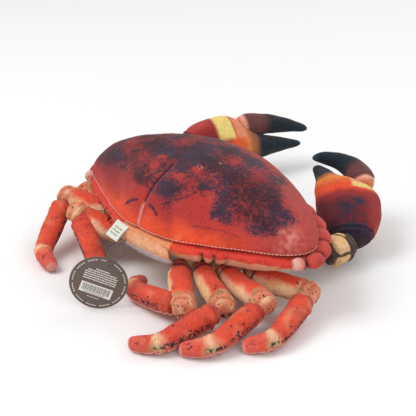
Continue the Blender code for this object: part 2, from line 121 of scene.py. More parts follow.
FRONT_OUTLINE = ((0.92, 0.30), (0.79, 0.53), (0.61, 0.73), (0.39, 0.89), (0.16, 0.98), (0.0, 1.0))
BELLY_PROFILE = (
    (1.0, 0.95), (0.985, 0.84), (0.92, 0.72), (0.78, 0.60), (0.60, 0.46), (0.44, 0.30), (0.33, 0.14),
)
LEG_POSES = (
    ("leg_right_1", (-0.070, 0.023, 0.023), -160, 4, 104, 52, 1.3),
    ("leg_right_2", (-0.052, 0.036, 0.024), 174, 5, 92, 42, 1.3),
    ("leg_right_3", (-0.036, 0.046, 0.025), 157, 6, 82, 29, 1.3),
    ("leg_right_4", (-0.022, 0.056, 0.025), 141, 6, -3, -62, 1.3),
    ("leg_left_1", (0.076, -0.012, 0.027), 9, -2, -85, -120, 1.3),
    ("leg_left_2", (0.076, 0.011, 0.029), 9, -3, 140, 165, 4.0),
    ("leg_left_3", (0.074, 0.034, 0.0330), 10, -4, 115, 160, 1.0),
    ("leg_left_4", (0.0450, 0.0480, 0.0240), 13, -14, 158, 135, 1.0),
)
CLAW_POSES = (
    ("claw_right", (-0.068, -0.030, 0.027), (-0.086, -0.060, 0.018), (-0.092, -0.085, 0.019),
     (0.628, -0.662, 0.407), (-0.725, -0.688, 0.0), (0.0150, 0.064, 110), (-0.0155, 0.035, 40)),
    ("claw_left", (0.070, -0.038, 0.029), (0.100, -0.064, 0.031), (0.118, -0.092, 0.037),
     (-0.346, -0.938, 0.010), (0.45, -0.17, 0.87), (0.0145, 0.076, 24), (-0.0075, 0.070, 10)),
)
LOOP_FRONT = (
    (0.0173, 0.0748, 0.0435), (0.0125, 0.0812, 0.0468), (0.0070, 0.0862, 0.0495), (-0.0005, 0.0925, 0.0496),
    (-0.0056, 0.0992, 0.0485), (-0.0068, 0.1050, 0.0470),
)
LOOP_BACK = (
    (0.0088, 0.1005, 0.0435), (0.0150, 0.0980, 0.0420), (0.0205, 0.0930, 0.0400),
    (0.0262, 0.0830, 0.0388), (0.0255, 0.0714, 0.0410),
)

# The photograph's view
TARGET = Vector((0.015, -0.020, 0.040))
AZIMUTH = 223.5
ELEVATION = 26.0
DISTANCE = 1.1
LENS = 110.7
VIEW_BACK = np.array([math.sin(math.radians(AZIMUTH)) * math.cos(math.radians(ELEVATION)),
                      -math.cos(math.radians(AZIMUTH)) * math.cos(math.radians(ELEVATION)),
                      math.sin(math.radians(ELEVATION))])
VIEW_RIGHT = np.cross([0.0, 0.0, 1.0], VIEW_BACK) / math.cos(math.radians(ELEVATION))
VIEW_UP = np.cross(VIEW_BACK, VIEW_RIGHT)

# Fine form: subdivision, the reach of a tuck, and the depths of seams, folds and puffs
FORM_LEVEL = 4
TUCK_REACH = 0.03
PUCKER_LENGTH = 0.0075
DART_TOP_X = 0.0050
DART_LOW_X = 0.0078
DART_DEPTH = 0.0019
BELLY_PUFF = 0.0020
CREASE_DEPTH = 0.0036
BELLY_CREASES = (
    (-0.0515, 0.0570, 1.0), (-0.0600, 0.0520, 0.9), (-0.0690, 0.0470, 0.4), (0.0515, 0.0570, 1.0),
    (0.0600, 0.0520, 0.8),
)
LOBE_PUFF = 0.0007
VALLEY_DEPTH = 0.0026
LIMB_SEAM = 0.0012
LIMB_LUMPS = 0.0007
LIMB_PILE = 0.0003
FINGERTIP_LIFT = 0.0022
# Legs whose lower seam is turned to the other side, and the skins that pieces at the rim lie against
SEAM_TURNED = ("leg_left_1", "leg_left_4")
SHELL_SKINS = ("carapace", "belly")

# Details of the tag, its cord, the label and the stitches
CARD_SIDES = 96
CARD_EDGE = 0.00018
HOLE_EDGE = 0.0001
PRINT_LIFT = 0.00004
STRIPE_LIFT = 0.00003
PRINT_TURN = -21.9
DASHES = 60
ROW_TOP = 0.0112
ROW_PITCH = 0.0020
ROW_REACHES = (0.0060, 0.0120, 0.0135, 0.0135, 0.0135, 0.0135)
CORD_SIDES = 12
CORD_TWIST = 0.55
LABEL_BEGIN = 0.20
LABEL_STEPS = 22
LABEL_COLUMNS = 20
LABEL_WAVE = 0.00030
PLY_APART = 0.00022
PLY_OPENS = 0.00035
FOLD_APART = 0.00012
PLY_THICKNESS = 0.00018
MOTIF_STEPS = 26
MOTIF_LIFT = 0.00016
MOTIF_HALF_WIDTH = 0.00045
RIM_RAYS = 720
STITCHES_UP = 0.0030
STITCH_PITCH = 0.0030
STITCH_RADIUS = 0.00042

# The shell's print, in millimetres in the plan. Blotches: x, y, half width and half height as seen, strength
BLOTCHES = (
    (36, 16, 12, 4.5, 1.0), (24, 23, 9, 3, 0.6), (-5, 16, 8, 3.5, 1.0), (6, 16, 12, 4, 0.7),
    (9, 38, 7, 5, 0.6), (26, 49, 5, 5, 0.95), (27, 45, 9, 10, 0.45), (-12, 50, 7, 5, 1.05),
    (-3, 52, 6, 6, 0.5), (-12, 55, 8, 4, 0.4), (59, 38, 3, 4, 0.5), (84, 27, 10, 7, 0.45),
    (100, 25, 5, 7, 0.3), (53, 32, 7, 8, 0.3), (-18, 60, 4, 3, 0.4), (-38, 61, 5, 2, 0.4),
    (-35, 36, 3, 3, 0.85), (-33, 38, 8, 6, 0.4), (-16, 14, 9, 4, 0.95), (-34, 11, 4, 3, 1.1),
    (-46, 16, 10, 6, 0.95), (-27, 18, 5, 4, 0.75), (-55, 42, 5, 5, 1.0), (-56, 34, 5, 5, 0.45),
    (-65, 41, 5, 3, 0.5), (-77, 28, 11, 10, 0.66), (-89, 13, 5, 5, 0.9), (-77, 12, 9, 7, 0.65),
    (-70, 17, 7, 6, 0.6), (-90, 29, 7, 6, 0.95), (-96, 30, 5, 3, 0.9), (-85, 35, 4, 3, 0.75),
    (-103, 16, 5, 5, 0.45), (-96, 17, 6, 5, 0.5), (-71, 0, 7, 5, 0.3), (-16, 33, 7, 5, 0.4),
    (-48, 30, 7, 6, 0.3), (-61, 26, 7, 7, 0.4), (-3, 31, 5, 4, 0.5),
)
# The same on the side that the photograph hides: x, y, reach, strength
FAR_BLOTCHES = (
    (60, 4, 13, 0.8), (84, 6, 9, 0.9), (34, -8, 14, 0.85), (12, -22, 11, 0.7), (-16, -12, 13, 0.85),
    (-42, -14, 12, 0.8), (-66, -18, 9, 0.6), (50, -26, 8, 0.6), (-8, -38, 7, 0.5), (72, -12, 8, 0.6),
    (0, 0, 11, 0.8),
)
# Pale flecks: x, y
PALE_FLECKS = ((-29.5, 10.6), (-31.0, 22.2), (-18.6, 25.8), (-101.3, 16.3))
# Clear spots between the blotches: x, y, half width and half height as seen
CLEARINGS = (
    (20, 38, 3.5, 3), (21, 28, 4, 1.6), (-11, 39, 4.5, 2.2), (-19, 28, 4, 2.5), (-33, 55, 8, 6),
    (29, 56, 2, 5),
)
# Pen-like strokes, each a run of points x, y, then its half width and strength
STROKES = (
    (((-10.4, 60.5), (-17.0, 57.3), (-22.8, 53.6), (-28.5, 48.7), (-31.9, 43.5)), 0.75, 0.95),
    (((1.8, 62.8), (-4.3, 63.9), (-10.4, 65.5)), 0.8, 1.0),
    (((27.7, 63.9), (21.8, 63.4), (15.3, 62.8)), 0.8, 1.0),
    (((32.5, 32.5), (24.5, 21.4), (16.7, 11.7)), 1.2, 0.9),
    (((-40.4, 58.9), (-50.8, 53.8), (-61.2, 48.3), (-77.4, 41.4)), 0.6, 0.55),
    (((31.7, 58.3), (38.2, 48.6), (39.3, 38.1)), 0.8, 0.55),
    (((20.5, 62.3), (24.6, 55.9)), 0.7, 0.5),
)
# How much wider than given a blotch is drawn, and how wide its weaker surroundings are
SPREAD = 1.12
HALO = 2.1


def srgb(r, g, b):
    """Linear colour of an ordinary 0-255 colour."""
    out = []
    for v in (r, g, b):
        v = v / 255.0
        out.append(v / 12.92 if v <= 0.04045 else ((v + 0.055) / 1.055) ** 2.4)
    return np.array(out)


# The print's colours, and three that are painted light: the gold of the rim highlight, the coral of the sheen
# and the brightened red of the band under the rim
SHELL_RED = srgb(182, 56, 50)
RIM_ORANGE = srgb(230, 80, 46)
DEEP_RED = srgb(132, 40, 42)
CHARCOAL = srgb(38, 30, 42)
SLATE = srgb(34, 44, 62)
# Painted sheen: the pale coral of the shell's far side
SHEEN_CORAL = srgb(192, 80, 74)
# Painted highlight: the yellow-gold glints low on the rear rim
HIGHLIGHT_GOLD = srgb(236, 150, 90)
ROSE = srgb(214, 96, 84)
PALE_ROSE = srgb(238, 186, 172)
CREAM = srgb(238, 196, 158)
WARM_CREAM = srgb(232, 168, 122)
ORANGE = srgb(212, 98, 50)
CORAL = srgb(208, 78, 60)
YELLOW = srgb(232, 186, 110)
OLIVE = srgb(160, 150, 96)
TEAL_BLACK = srgb(30, 42, 50)
BLUE_TIP = srgb(58, 92, 108)
BROWN_RED = srgb(118, 56, 52)
BLUE_WHITE = srgb(206, 206, 218)
PEACH = srgb(226, 148, 104)
AMBER = srgb(232, 158, 84)
STRAW = srgb(228, 206, 122)
DUSTY_BROWN = srgb(104, 62, 60)
MAROON = srgb(86, 28, 32)
# Red of the band under the rim, brightened as painted light against the rim's shadow
LIT_BAND_RED = srgb(220, 68, 58)
SPECK = srgb(34, 32, 36)
SALMON = srgb(222, 138, 104)
HIP_BROWN = srgb(168, 96, 56)
DUSKY_PLUM = srgb(66, 44, 58)


def add_object(name, data):
    made = bpy.data.objects.new(name, data)
    bpy.context.scene.collection.objects.link(made)
    return made


# Camera
def place_camera():
    back = Vector(VIEW_BACK)
    data = bpy.data.cameras.new("camera")
    data.lens = LENS
    data.sensor_width = 36.0
    data.clip_start = 0.05
    data.clip_end = 20.0
    made = add_object("camera", data)
    made.location = TARGET + back * DISTANCE
    made.rotation_euler = (-back).to_track_quat("-Z", "Y").to_euler()
    bpy.context.scene.camera = made


# Curves and cages, as in the solids
UP = Vector((0, 0, 1))


def blend_points(near, t):
    before, start, end, after = near
    return 0.5 * (2 * start + (end - before) * t
                  + (2 * before - 5 * start + 4 * end - after) * t * t
                  + (3 * start - before - 3 * end + after) * t ** 3)


def spline(points, steps, closed=False):
    count = len(points)
    out = []
    for i in range(count if closed else count - 1):
        if closed:
            near = [points[(i + k) % count] for k in (-1, 0, 1, 2)]
        else:
            near = [points[min(max(i + k, 0), count - 1)] for k in (-1, 0, 1, 2)]
        out.extend(blend_points(near, part / steps) for part in range(steps))
    if not closed:
        out.append(points[-1])
    return out


def evenly(points, count):
    lengths = [0.0]
    for a, b in zip(points, points[1:]):
        lengths.append(lengths[-1] + (b - a).length)
    out = []
    k = 0
    for i in range(count):
        want = lengths[-1] * i / (count - 1)
        while k < len(points) - 2 and lengths[k + 1] < want:
            k += 1
        share = (want - lengths[k]) / (lengths[k + 1] - lengths[k])
        out.append(points[k].lerp(points[k + 1], share))
    return out


def heading(azimuth, fall=0.0):
    a = math.radians(azimuth)
    f = math.radians(fall)
    return Vector((math.cos(a) * math.cos(f), math.sin(a) * math.cos(f), -math.sin(f)))


def limb_rings(route, sizes, across, sides, ways=None):
    """Rings along a route. across is the way of the width, for all rings or one for each."""
    swell = 1.0 / math.cos(math.pi / sides)
    last = len(route) - 1
    rings = []
    for i, middle in enumerate(route):
        along = ways[i] if ways else (route[min(i + 1, last)] - route[max(i - 1, 0)]).normalized()
        aim = across[i] if isinstance(across, list) else across
        wide = (aim - along * aim.dot(along)).normalized()
        if i and wide.dot(before) < 0:
            wide = -wide
        before = wide
        thick = along.cross(wide)
        half_width, half_thick = sizes[i]
        ring = []
        for k in range(sides):
            angle = 2 * math.pi * (k + 0.5) / sides
            ring.append(middle + wide * half_width * swell * math.cos(angle)
                        + thick * half_thick * swell * math.sin(angle))
        rings.append(ring)
    return rings


def round_sizes(radius, *shares):
    """Ring sizes of a round section: the same half width and half thickness."""
    return [(radius * share, radius * share) for share in shares]


def shell_outline():
    half = []
    for across, back in REAR_OUTLINE:
        half.append(Vector((across * SHELL_HALF_WIDTH, CORNER_BACK + back * (SHELL_REAR - CORNER_BACK), 0)))
    for across, fore in FRONT_OUTLINE:
        half.append(Vector((across * SHELL_HALF_WIDTH, CORNER_BACK - fore * (SHELL_FRONT + CORNER_BACK), 0)))
    other = [Vector((-p.x, p.y, 0)) for p in reversed(half[1:-1])]
    curve = spline(half + other, 8, closed=True)
    left = evenly(curve[:len(curve) // 2 + 1], SHELL_COLUMNS // 2 + 1)
    right = [Vector((-p.x, p.y, 0)) for p in reversed(left[1:-1])]
    return left + right


def body_ring(outline, share, height):
    return [p * share + Vector((0, 0, height)) for p in outline]


def shell_rings(outline):
    floor = SEAM_HEIGHT + SEAM_GAP / 2
    rings = [body_ring(outline, share, floor) for share in (0.35, 0.75, 0.97)]
    for share in (1.02, 0.93, 0.79, 0.60, 0.38, 0.16):
        rise = DOME_HEIGHT * (1.0 - min(share, 1.0) ** DOME_FLAT) ** DOME_ROUND
        rings.append(body_ring(outline, share, floor + EDGE_THICKNESS + rise))
    return rings


def belly_rings(outline):
    top = SEAM_HEIGHT - SEAM_GAP / 2
    rings = [body_ring(outline, share, top) for share in (0.40, 0.80, 0.97)]
    for share, height in BELLY_PROFILE:
        rings.append(body_ring(outline, share, height * SEAM_HEIGHT))
    for share in (1.7 * REST_SHARE, REST_SHARE):
        rings.append(body_ring(outline, share, 0.0))
    return rings


def frill_route(outline, side):
    corner = SHELL_COLUMNS // 4 - 1
    front = SHELL_COLUMNS // 2 - 1
    plan = [Vector((p.x * side, p.y, 0)) for p in outline[corner:front + 1]]
    fine = evenly(spline(plan, 4), 16 * LOBES + 1)
    last = 2 * LOBES
    return [fine[round(16 * LOBES * (i / last) ** LOBE_GROWTH)] for i in range(last + 1)]


def frill_rings(outline, side):
    edge = frill_route(outline, side)
    route = [p + FRILL_LIFT for p in edge]
    last = 2 * LOBES
    sizes = []
    for i in range(last + 1):
        full = 1.0 if i % 2 else 0.66
        taper = min(1.0, 0.40 + 0.085 * i, 0.5 + 0.25 * (last - i))
        thick = (0.4 + 0.6 * full) * (0.5 + 0.5 * taper)
        sizes.append((LOBE_REACH * full * taper, LOBE_HALF_THICK * thick))
    return limb_rings(route, sizes, edge, LIMB_SIDES)


def flap_rings():
    rear = SHELL_REAR
    line = ((rear - 0.0015, 0.955), (rear + 0.0012, 0.80), (rear - 0.004, 0.64), (rear - 0.022, 0.47))
    route = [Vector((0, y, share * SEAM_HEIGHT)) for y, share in line]
    shares = ((0.96, 0.6), (1.08, 0.9), (0.96, 1.0), (0.62, 1.0))
    sizes = [(FLAP_HALF_WIDTH * w, FLAP_HALF_THICK * t) for w, t in shares]
    return limb_rings(route, sizes, Vector((1, 0, 0)), LIMB_SIDES)


def leg_points(hip, azimuth, fall, shank, tip, sag):
    start = Vector(hip)
    way = heading(azimuth, fall)
    knee = start + way * UPPER_LENGTH
    seat = Vector((-hip[0], -hip[1], 0)).normalized() * HIP_IN + Vector((0, 0, HIP_UP))
    upper = [start + seat, start + way * 0.30 * UPPER_LENGTH, start + way * 0.62 * UPPER_LENGTH,
             knee - way * 0.10 * UPPER_LENGTH, knee + way * 0.35 * KNEE_RADIUS]
    low_way = heading(shank)
    root = knee - way * SHANK_BACK + low_way * SHANK_AHEAD
    drop = knee.z - SHANK_RADIUS
    reach = math.sqrt(SHANK_LENGTH ** 2 - drop ** 2)
    lower = []
    for share in (0.06, 0.24, 0.50, 0.76, 1.0):
        height = SHANK_RADIUS + drop * (1.0 - share) ** sag
        lower.append(Vector((root.x, root.y, height)) + low_way * reach * share)
    tip_way = heading(tip)
    for share, low in ((0.40, 0.3), (0.75, 0.7), (1.0, 1.0)):
        sink = (SHANK_RADIUS - TIP_RADIUS) * low
        turn = low_way.lerp(tip_way, min(1.0, 0.55 + 0.6 * share)).normalized()
        lower.append(lower[4] + turn * TIP_LENGTH * share - Vector((0, 0, sink)))
    return upper, lower


def leg_upper_rings(route):
    radii = (HIP_RADIUS, UPPER_RADIUS, UPPER_RADIUS, KNEE_RADIUS, 0.72 * KNEE_RADIUS)
    return limb_rings(route, [(r, r) for r in radii], UP, LIMB_SIDES)


def leg_lower_rings(route):
    middle = (BEND_RADIUS + TIP_RADIUS) / 2
    radii = (0.86 * SHANK_RADIUS, SHANK_RADIUS, SHANK_RADIUS, 0.95 * SHANK_RADIUS, BEND_RADIUS,
             (BEND_RADIUS + middle) / 2, middle, TIP_RADIUS)
    return limb_rings(route, [(r, r) for r in radii], UP, LIMB_SIDES)


def arc_route(start, along, aside, curl, length, steps):
    turn = math.radians(curl)
    radius = length / turn
    points = []
    ways = []
    for i in range(steps + 1):
        angle = turn * i / steps
        points.append(start + along * radius * math.sin(angle) + aside * radius * (1.0 - math.cos(angle)))
        ways.append(along * math.cos(angle) + aside * math.sin(angle))
    return points, ways


def claw_frame(palm_way, open_way):
    along = Vector(palm_way).normalized()
    wide = Vector(open_way)
    return along, (wide - along * wide.dot(along)).normalized()


def hand_rings(wrist, along, wide, finger):
    spread, length, curl = finger
    root = wrist + along * PALM_LENGTH * FIXED_ROOT + wide * spread
    points, ways = arc_route(root, along, -wide, curl, length, 4)
    palm = ((0.0, 0.40, 0.58), (0.16, 0.78, 0.84), (0.50, 1.0, 1.0), (0.91, 0.98, 0.80))
    route = [wrist + along * PALM_LENGTH * share for share, _, _ in palm] + points[1:]
    sizes = [(PALM_HALF_WIDTH * w, PALM_HALF_THICK * t) for _, w, t in palm]
    sizes += [(FINGER_RADIUS * s, FINGER_THICK * s) for s in (1.08, 0.78, 0.52)]
    sizes.append((FINGER_TIP_RADIUS, FINGER_TIP_RADIUS))
    return limb_rings(route, sizes, wide, CLAW_SIDES, [along] * len(palm) + ways[1:]), points


def finger_rings(wrist, along, wide, finger):
    spread, length, curl = finger
    root = wrist + along * PALM_LENGTH * FINGER_ROOT + wide * spread
    route, ways = arc_route(root, along, -wide, curl, length, 6)
    sizes = [(FINGER_RADIUS * s, FINGER_THICK * s) for s in (1.0, 1.0, 0.88, 0.74, 0.60, 0.44)]
    sizes.append((FINGER_TIP_RADIUS, FINGER_TIP_RADIUS))
    return limb_rings(route, sizes, wide, CLAW_SIDES, ways), route


def arm_rings(shoulder, elbow):
    way = (elbow - shoulder).normalized()
    route = [shoulder - way * ARM_SEAT, shoulder.lerp(elbow, 0.5), elbow]
    return limb_rings(route, round_sizes(ARM_RADIUS, 0.85, 1.0, 0.95), UP, CLAW_SIDES), route


def wrist_rings(elbow, wrist):
    way = (wrist - elbow).normalized()
    route = [elbow - way * 0.35 * WRIST_RADIUS, elbow.lerp(wrist, 0.45), wrist]
    return limb_rings(route, round_sizes(WRIST_RADIUS, 0.90, 1.06, 0.80), UP, CLAW_SIDES), route


def face_rings():
    middle = FACE_BEHIND - SHELL_FRONT
    route = [Vector((x * FACE_HALF_WIDTH, middle + FACE_BEND * abs(x), FACE_HEIGHT))
             for x in (-1.0, -0.6, 0.0, 0.6, 1.0)]
    return limb_rings(route, round_sizes(FACE_HALF_THICK, 0.62, 0.95, 1.05, 0.95, 0.62), UP, LIMB_SIDES)


def tag_place():
    stand = Matrix.Rotation(math.radians(90), 4, "X")
    roll = Matrix.Rotation(math.radians(TAG_ROLL), 4, "Z")
    yaw = Matrix.Rotation(math.radians(180 + TAG_YAW), 4, "Z")
    return Matrix.Translation(TAG_CENTRE) @ yaw @ stand @ roll


# Fine meshes and number arrays
def mesh_object(name, shape, smooth=True):
    """An object of a finished bmesh, which is freed."""
    data = bpy.data.meshes.new(name)
    shape.to_mesh(data)
    shape.free()
    if smooth:
        data.shade_smooth()
    return add_object(name, data)


def bridge(shape, loops, closed=True, caps=False):
    """Quads between each loop of vertices and the next, with end caps if asked."""
    count = len(loops[0])
    for low, high in zip(loops, loops[1:]):
        for i in range(count if closed else count - 1):
            j = (i + 1) % count
            shape.faces.new((low[i], low[j], high[j], high[i]))
    if caps:
        shape.faces.new(list(reversed(loops[0])))
        shape.faces.new(loops[-1])


def soft_form(name, rings):
    """A fine mesh drawn from a coarse cage of rings."""
    cage = bmesh.new()
    bridge(cage, [[cage.verts.new(p) for p in ring] for ring in rings], caps=True)
    bmesh.ops.recalc_face_normals(cage, faces=cage.faces)
    rough = mesh_object(name + "_cage", cage, smooth=False)
    soften = rough.modifiers.new("soften", "SUBSURF")
    soften.levels = FORM_LEVEL
    soften.render_levels = FORM_LEVEL
    fine = bpy.data.meshes.new_from_object(rough.evaluated_get(bpy.context.evaluated_depsgraph_get()))
    fine.name = name
    coarse = rough.data
    bpy.data.objects.remove(rough, do_unlink=True)
    bpy.data.meshes.remove(coarse)
    fine.shade_smooth()
    return add_object(name, fine)


def get_points(piece, kind="co"):
    out = np.empty(len(piece.data.vertices) * 3)
    piece.data.vertices.foreach_get(kind, out)
    return out.reshape(-1, 3)


def set_points(piece, co):
    piece.data.vertices.foreach_set("co", co.astype(np.float32).ravel())
    piece.data.update()


def raise_skin(piece, height):
    set_points(piece, get_points(piece) + get_points(piece, "normal") * height[:, None])


def tree_of(piece):
    shape = bmesh.new()
    shape.from_mesh(piece.data)
    tree = BVHTree.FromBMesh(shape)
    shape.free()
    return tree


def tuck(piece, neighbours, only=None):
    """Lay the parts of a piece that run into a neighbour against that neighbour's skin."""
    co = get_points(piece)
    chosen = range(len(co)) if only is None else np.nonzero(only)[0]
    for other in neighbours:
        for i in chosen:
            near, normal, _, _ = TREES[other].find_nearest(Vector(co[i]), TUCK_REACH)
            if near is not None and (Vector(co[i]) - near).dot(normal) < SEAM_GAP:
                co[i] = near + normal * SEAM_GAP
    set_points(piece, co)


def lumps(co, size, seed):
    """Smooth noise about -1 to 1 at each point, with lumps of the given size."""
    shift = Vector((seed * 3.7, seed * 1.3, seed * 2.1))
    return np.array([noise.noise(Vector(p) / size + shift) for p in co])


def marks(co, size, seed, low=-0.05, high=0.45):
    """Loose small marks of about the given size, 0 to 1."""
    return step(low, high, lumps(co, size, seed))


def puckers(co, seed):
    """Small waves along the rim seam, -1 to 1."""
    x, y, _ = co.T
    arc = np.arctan2(y, x) * np.hypot(x, y).max()
    return np.sin(arc / PUCKER_LENGTH + 2.0 * lumps(co, 0.03, seed))


def mix(a, b, share):
    share = np.clip(share, 0.0, 1.0)[:, None]
    return a * (1.0 - share) + b * share


def layered(tint, *layers):
    """A colour with further colours laid over it, each by its own share."""
    for colour, share in layers:
        tint = mix(tint, colour, share)
    return tint


def step(low, high, value):
    t = np.clip((value - low) / (high - low), 0.0, 1.0)
    return t * t * (3.0 - 2.0 * t)


def bump_at(value, centre, width):
    return np.exp(-((value - centre) / width) ** 2)


def on_route(co, route):
    """Share along a route, and angle round it, 0 at the top."""
    line = np.array([list(p) for p in route])
    best = np.full(len(co), 1e9)
    share = np.zeros(len(co))
    angle = np.zeros(len(co))
    lengths = np.linalg.norm(np.diff(line, axis=0), axis=1)
    total = lengths.sum()
    walked = 0.0
    for a, b, length in zip(line[:-1], line[1:], lengths):
        way = (b - a) / length
        t = np.clip((co - a) @ way, 0.0, length)
        radial = co - (a + t[:, None] * way)
        far = np.linalg.norm(radial, axis=1)
        side = np.cross(way, [0.0, 0.0, 1.0])
        side = side / np.linalg.norm(side)
        up = np.cross(side, way)
        turn = np.arctan2(radial @ side, radial @ up)
        nearer = far < best
        share[nearer] = ((walked + t) / total)[nearer]
        angle[nearer] = turn[nearer]
        best = np.minimum(best, far)
        walked += length
    return share, angle


def paint(piece, tint, ink, specks):
    """Store the print, with the light and shade painted into it: its colour, the charcoal blotches and the
    density of small specks.
    """
    count = len(piece.data.vertices)
    colours = np.ones((count, 4))
    colours[:, :3] = tint
    layer = piece.data.color_attributes.new("tint", "FLOAT_COLOR", "POINT")
    layer.data.foreach_set("color", colours.astype(np.float32).ravel())
    for name, values in (("ink", ink), ("specks", specks)):
        layer = piece.data.attributes.new(name, "FLOAT", "POINT")
        layer.data.foreach_set("value", np.broadcast_to(values, (count,)).astype(np.float32))


# Materials
class Nodes:
    """Short ways to add and join shader nodes."""

    def __init__(self, name):
        self.material = bpy.data.materials.new(name)
        self.material.use_nodes = True
        self.tree = self.material.node_tree
        self.shader = self.tree.nodes["Principled BSDF"]
        self.place = self.add("ShaderNodeTexCoord").outputs["Object"]

    def add(self, kind, sockets=None, **settings):
        """A node with its settings, and with what its input sockets are fed."""
        node = self.tree.nodes.new(kind)
        for key, value in settings.items():
            setattr(node, key, value)
        for key, value in (sockets or {}).items():
            self.feed(node.inputs[key], value)
        return node

    def feed(self, socket, value):
        if hasattr(value, "is_linked"):
            self.tree.links.new(value, socket)
        else:
            socket.default_value = value

    def finish(self, **values):
        """Feed the shader's own sockets, each named in small letters with underscores."""
        for key, value in values.items():
            socket = next(s for s in self.shader.inputs if s.name.lower().replace(" ", "_") == key)
            self.feed(socket, value)
        return self.material

    def math(self, operation, a, b=0.0, c=0.0):
        return self.add("ShaderNodeMath", {0: a, 1: b, 2: c}, operation=operation).outputs[0]

    def swing(self, value, amount, base):
        """The base plus an amount of how far a noise value is from its middle."""
        return self.math("MULTIPLY_ADD", self.math("SUBTRACT", value, 0.5), amount, base)

    def smooth(self, value, low, high):
        sockets = {"Value": value, "From Min": low, "From Max": high}
        return self.add("ShaderNodeMapRange", sockets, interpolation_type="SMOOTHSTEP").outputs[0]

    def noise(self, scale, detail, rough):
        sockets = {"Vector": self.place, "Scale": scale, "Detail": detail, "Roughness": rough}
        return self.add("ShaderNodeTexNoise", sockets).outputs[0]

    def attribute(self, name, output="Fac"):
        return self.add("ShaderNodeAttribute", attribute_name=name).outputs[output]

    def mix(self, a, b, share, kind="MIX"):
        sockets = {0: share, 6: a, 7: b}
        return self.add("ShaderNodeMix", sockets, data_type="RGBA", blend_type=kind).outputs[2]

    def shaded(self, colour, shade):
        """A colour made darker or lighter by a grey value."""
        level = self.add("ShaderNodeCombineXYZ", {0: shade, 1: shade, 2: shade})
        return self.mix(colour, level.outputs[0], 1.0, "MULTIPLY")

    def bumps(self, *heights):
        """A normal bent by height fields, each with its own depth."""
        normal = None
        for height, depth in heights:
            node = self.add("ShaderNodeBump", {"Strength": 1.0, "Distance": depth, "Height": height})
            if normal is not None:
                self.feed(node.inputs["Normal"], normal)
            normal = node.outputs[0]
        return normal


def colour4(value):
    return (float(value[0]), float(value[1]), float(value[2]), 1.0)


def plush(name):
    """Printed short-pile plush: brushed pile, mottled print, blotches with speckled edges."""
    n = Nodes(name)
    broad = n.noise(34.0, 3.0, 0.55)
    fine = n.noise(300.0, 4.0, 0.65)
    grain = n.noise(850.0, 3.0, 0.7)
    pile = n.noise(2200.0, 2.0, 0.7)
    shade = n.math("MULTIPLY_ADD", broad, 0.50, 0.76)
    shade = n.swing(pile, 0.45, n.swing(grain, 0.80, n.swing(fine, 0.60, shade)))
    body = n.shaded(n.attribute("tint", "Color"), shade)
    edge = n.swing(broad, 0.5, n.swing(grain, 1.7, n.swing(fine, 1.5, n.attribute("ink"))))
    inked = n.math("MULTIPLY", n.smooth(edge, 0.30, 0.95), 0.93)
    ink_colour = n.mix(colour4(CHARCOAL), colour4(SLATE), n.smooth(broad, 0.42, 0.60))
    body = n.mix(body, ink_colour, inked)
    cells = n.add("ShaderNodeTexVoronoi", {"Vector": n.place, "Scale": 330.0, "Randomness": 1.0})
    dot = n.math("MULTIPLY", cells.outputs["Distance"], -1.0)
    dot = n.swing(fine, 0.75, n.math("MULTIPLY_ADD", n.attribute("specks"), 0.62, dot))
    body = n.mix(body, colour4(SPECK), n.math("MULTIPLY", n.smooth(dot, -0.03, 0.08), 0.9))
    clumps = n.noise(170.0, 3.0, 0.55)
    normal = n.bumps((clumps, 0.0014), (fine, 0.0008), (grain, 0.0005), (pile, 0.00030))
    return n.finish(base_color=body, normal=normal, roughness=0.86, specular_ior_level=0.18,
                    sheen_weight=0.18, sheen_roughness=0.38, sheen_tint=(1.0, 0.74, 0.68, 1.0))


def plain(name, colour, roughness, grain, depth, vary):
    """A plain finish with fine grain in its colour and its surface."""
    n = Nodes(name)
    fine = n.noise(grain, 3.0, 0.6)
    return n.finish(base_color=n.shaded(colour4(colour), n.swing(fine, vary, 1.0)),
                    normal=n.bumps((fine, depth)), roughness=roughness)


# The skins of finished pieces by the CAD node they stand for, for their neighbours to lie against
TREES = {}


def dress(piece, node, material, fill=None):
    """Give a finished piece its material and body and hide the node it stands for; if a filling is given,
    keep its skin for its neighbours to lie against.
    """
    piece.data.materials.clear()
    piece.data.materials.append(material)
    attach(piece, "root")
    if node:
        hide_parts(node)
    if fill is not None:
        TREES[node] = tree_of(piece)


# Tag and its loop
def tag_flat(name, shape, skin, node=None):
    """A piece of the tag that was drawn flat in the tag's own plane."""
    made = mesh_object(name, shape, smooth=False)
    made.data.transform(tag_place())
    dress(made, node, skin)
    return made


def build_tag_card(skin):
    """The card: a disc with a soft edge and a punched hole, as rings of quads."""
    half = TAG_THICKNESS / 2
    rim = ((TAG_RADIUS - CARD_EDGE, half), (TAG_RADIUS, half - CARD_EDGE),
           (TAG_RADIUS, -half + CARD_EDGE), (TAG_RADIUS - CARD_EDGE, -half))
    hole = ((TAG_HOLE_RADIUS + HOLE_EDGE, -half), (TAG_HOLE_RADIUS, -half + HOLE_EDGE),
            (TAG_HOLE_RADIUS, half - HOLE_EDGE), (TAG_HOLE_RADIUS + HOLE_EDGE, half))
    angles = [2 * math.pi * k / CARD_SIDES for k in range(CARD_SIDES)]
    shape = bmesh.new()
    loops = []
    for profile, middle in ((rim, 0.0), (hole, TAG_RADIUS - TAG_HOLE_INSET)):
        for r, height in profile:
            loops.append([shape.verts.new((r * math.cos(a), middle + r * math.sin(a), height))
                          for a in angles])
    bridge(shape, loops + loops[:1])
    bmesh.ops.recalc_face_normals(shape, faces=shape.faces)
    tag_flat("hang_tag_card", shape, skin, "hang_tag")


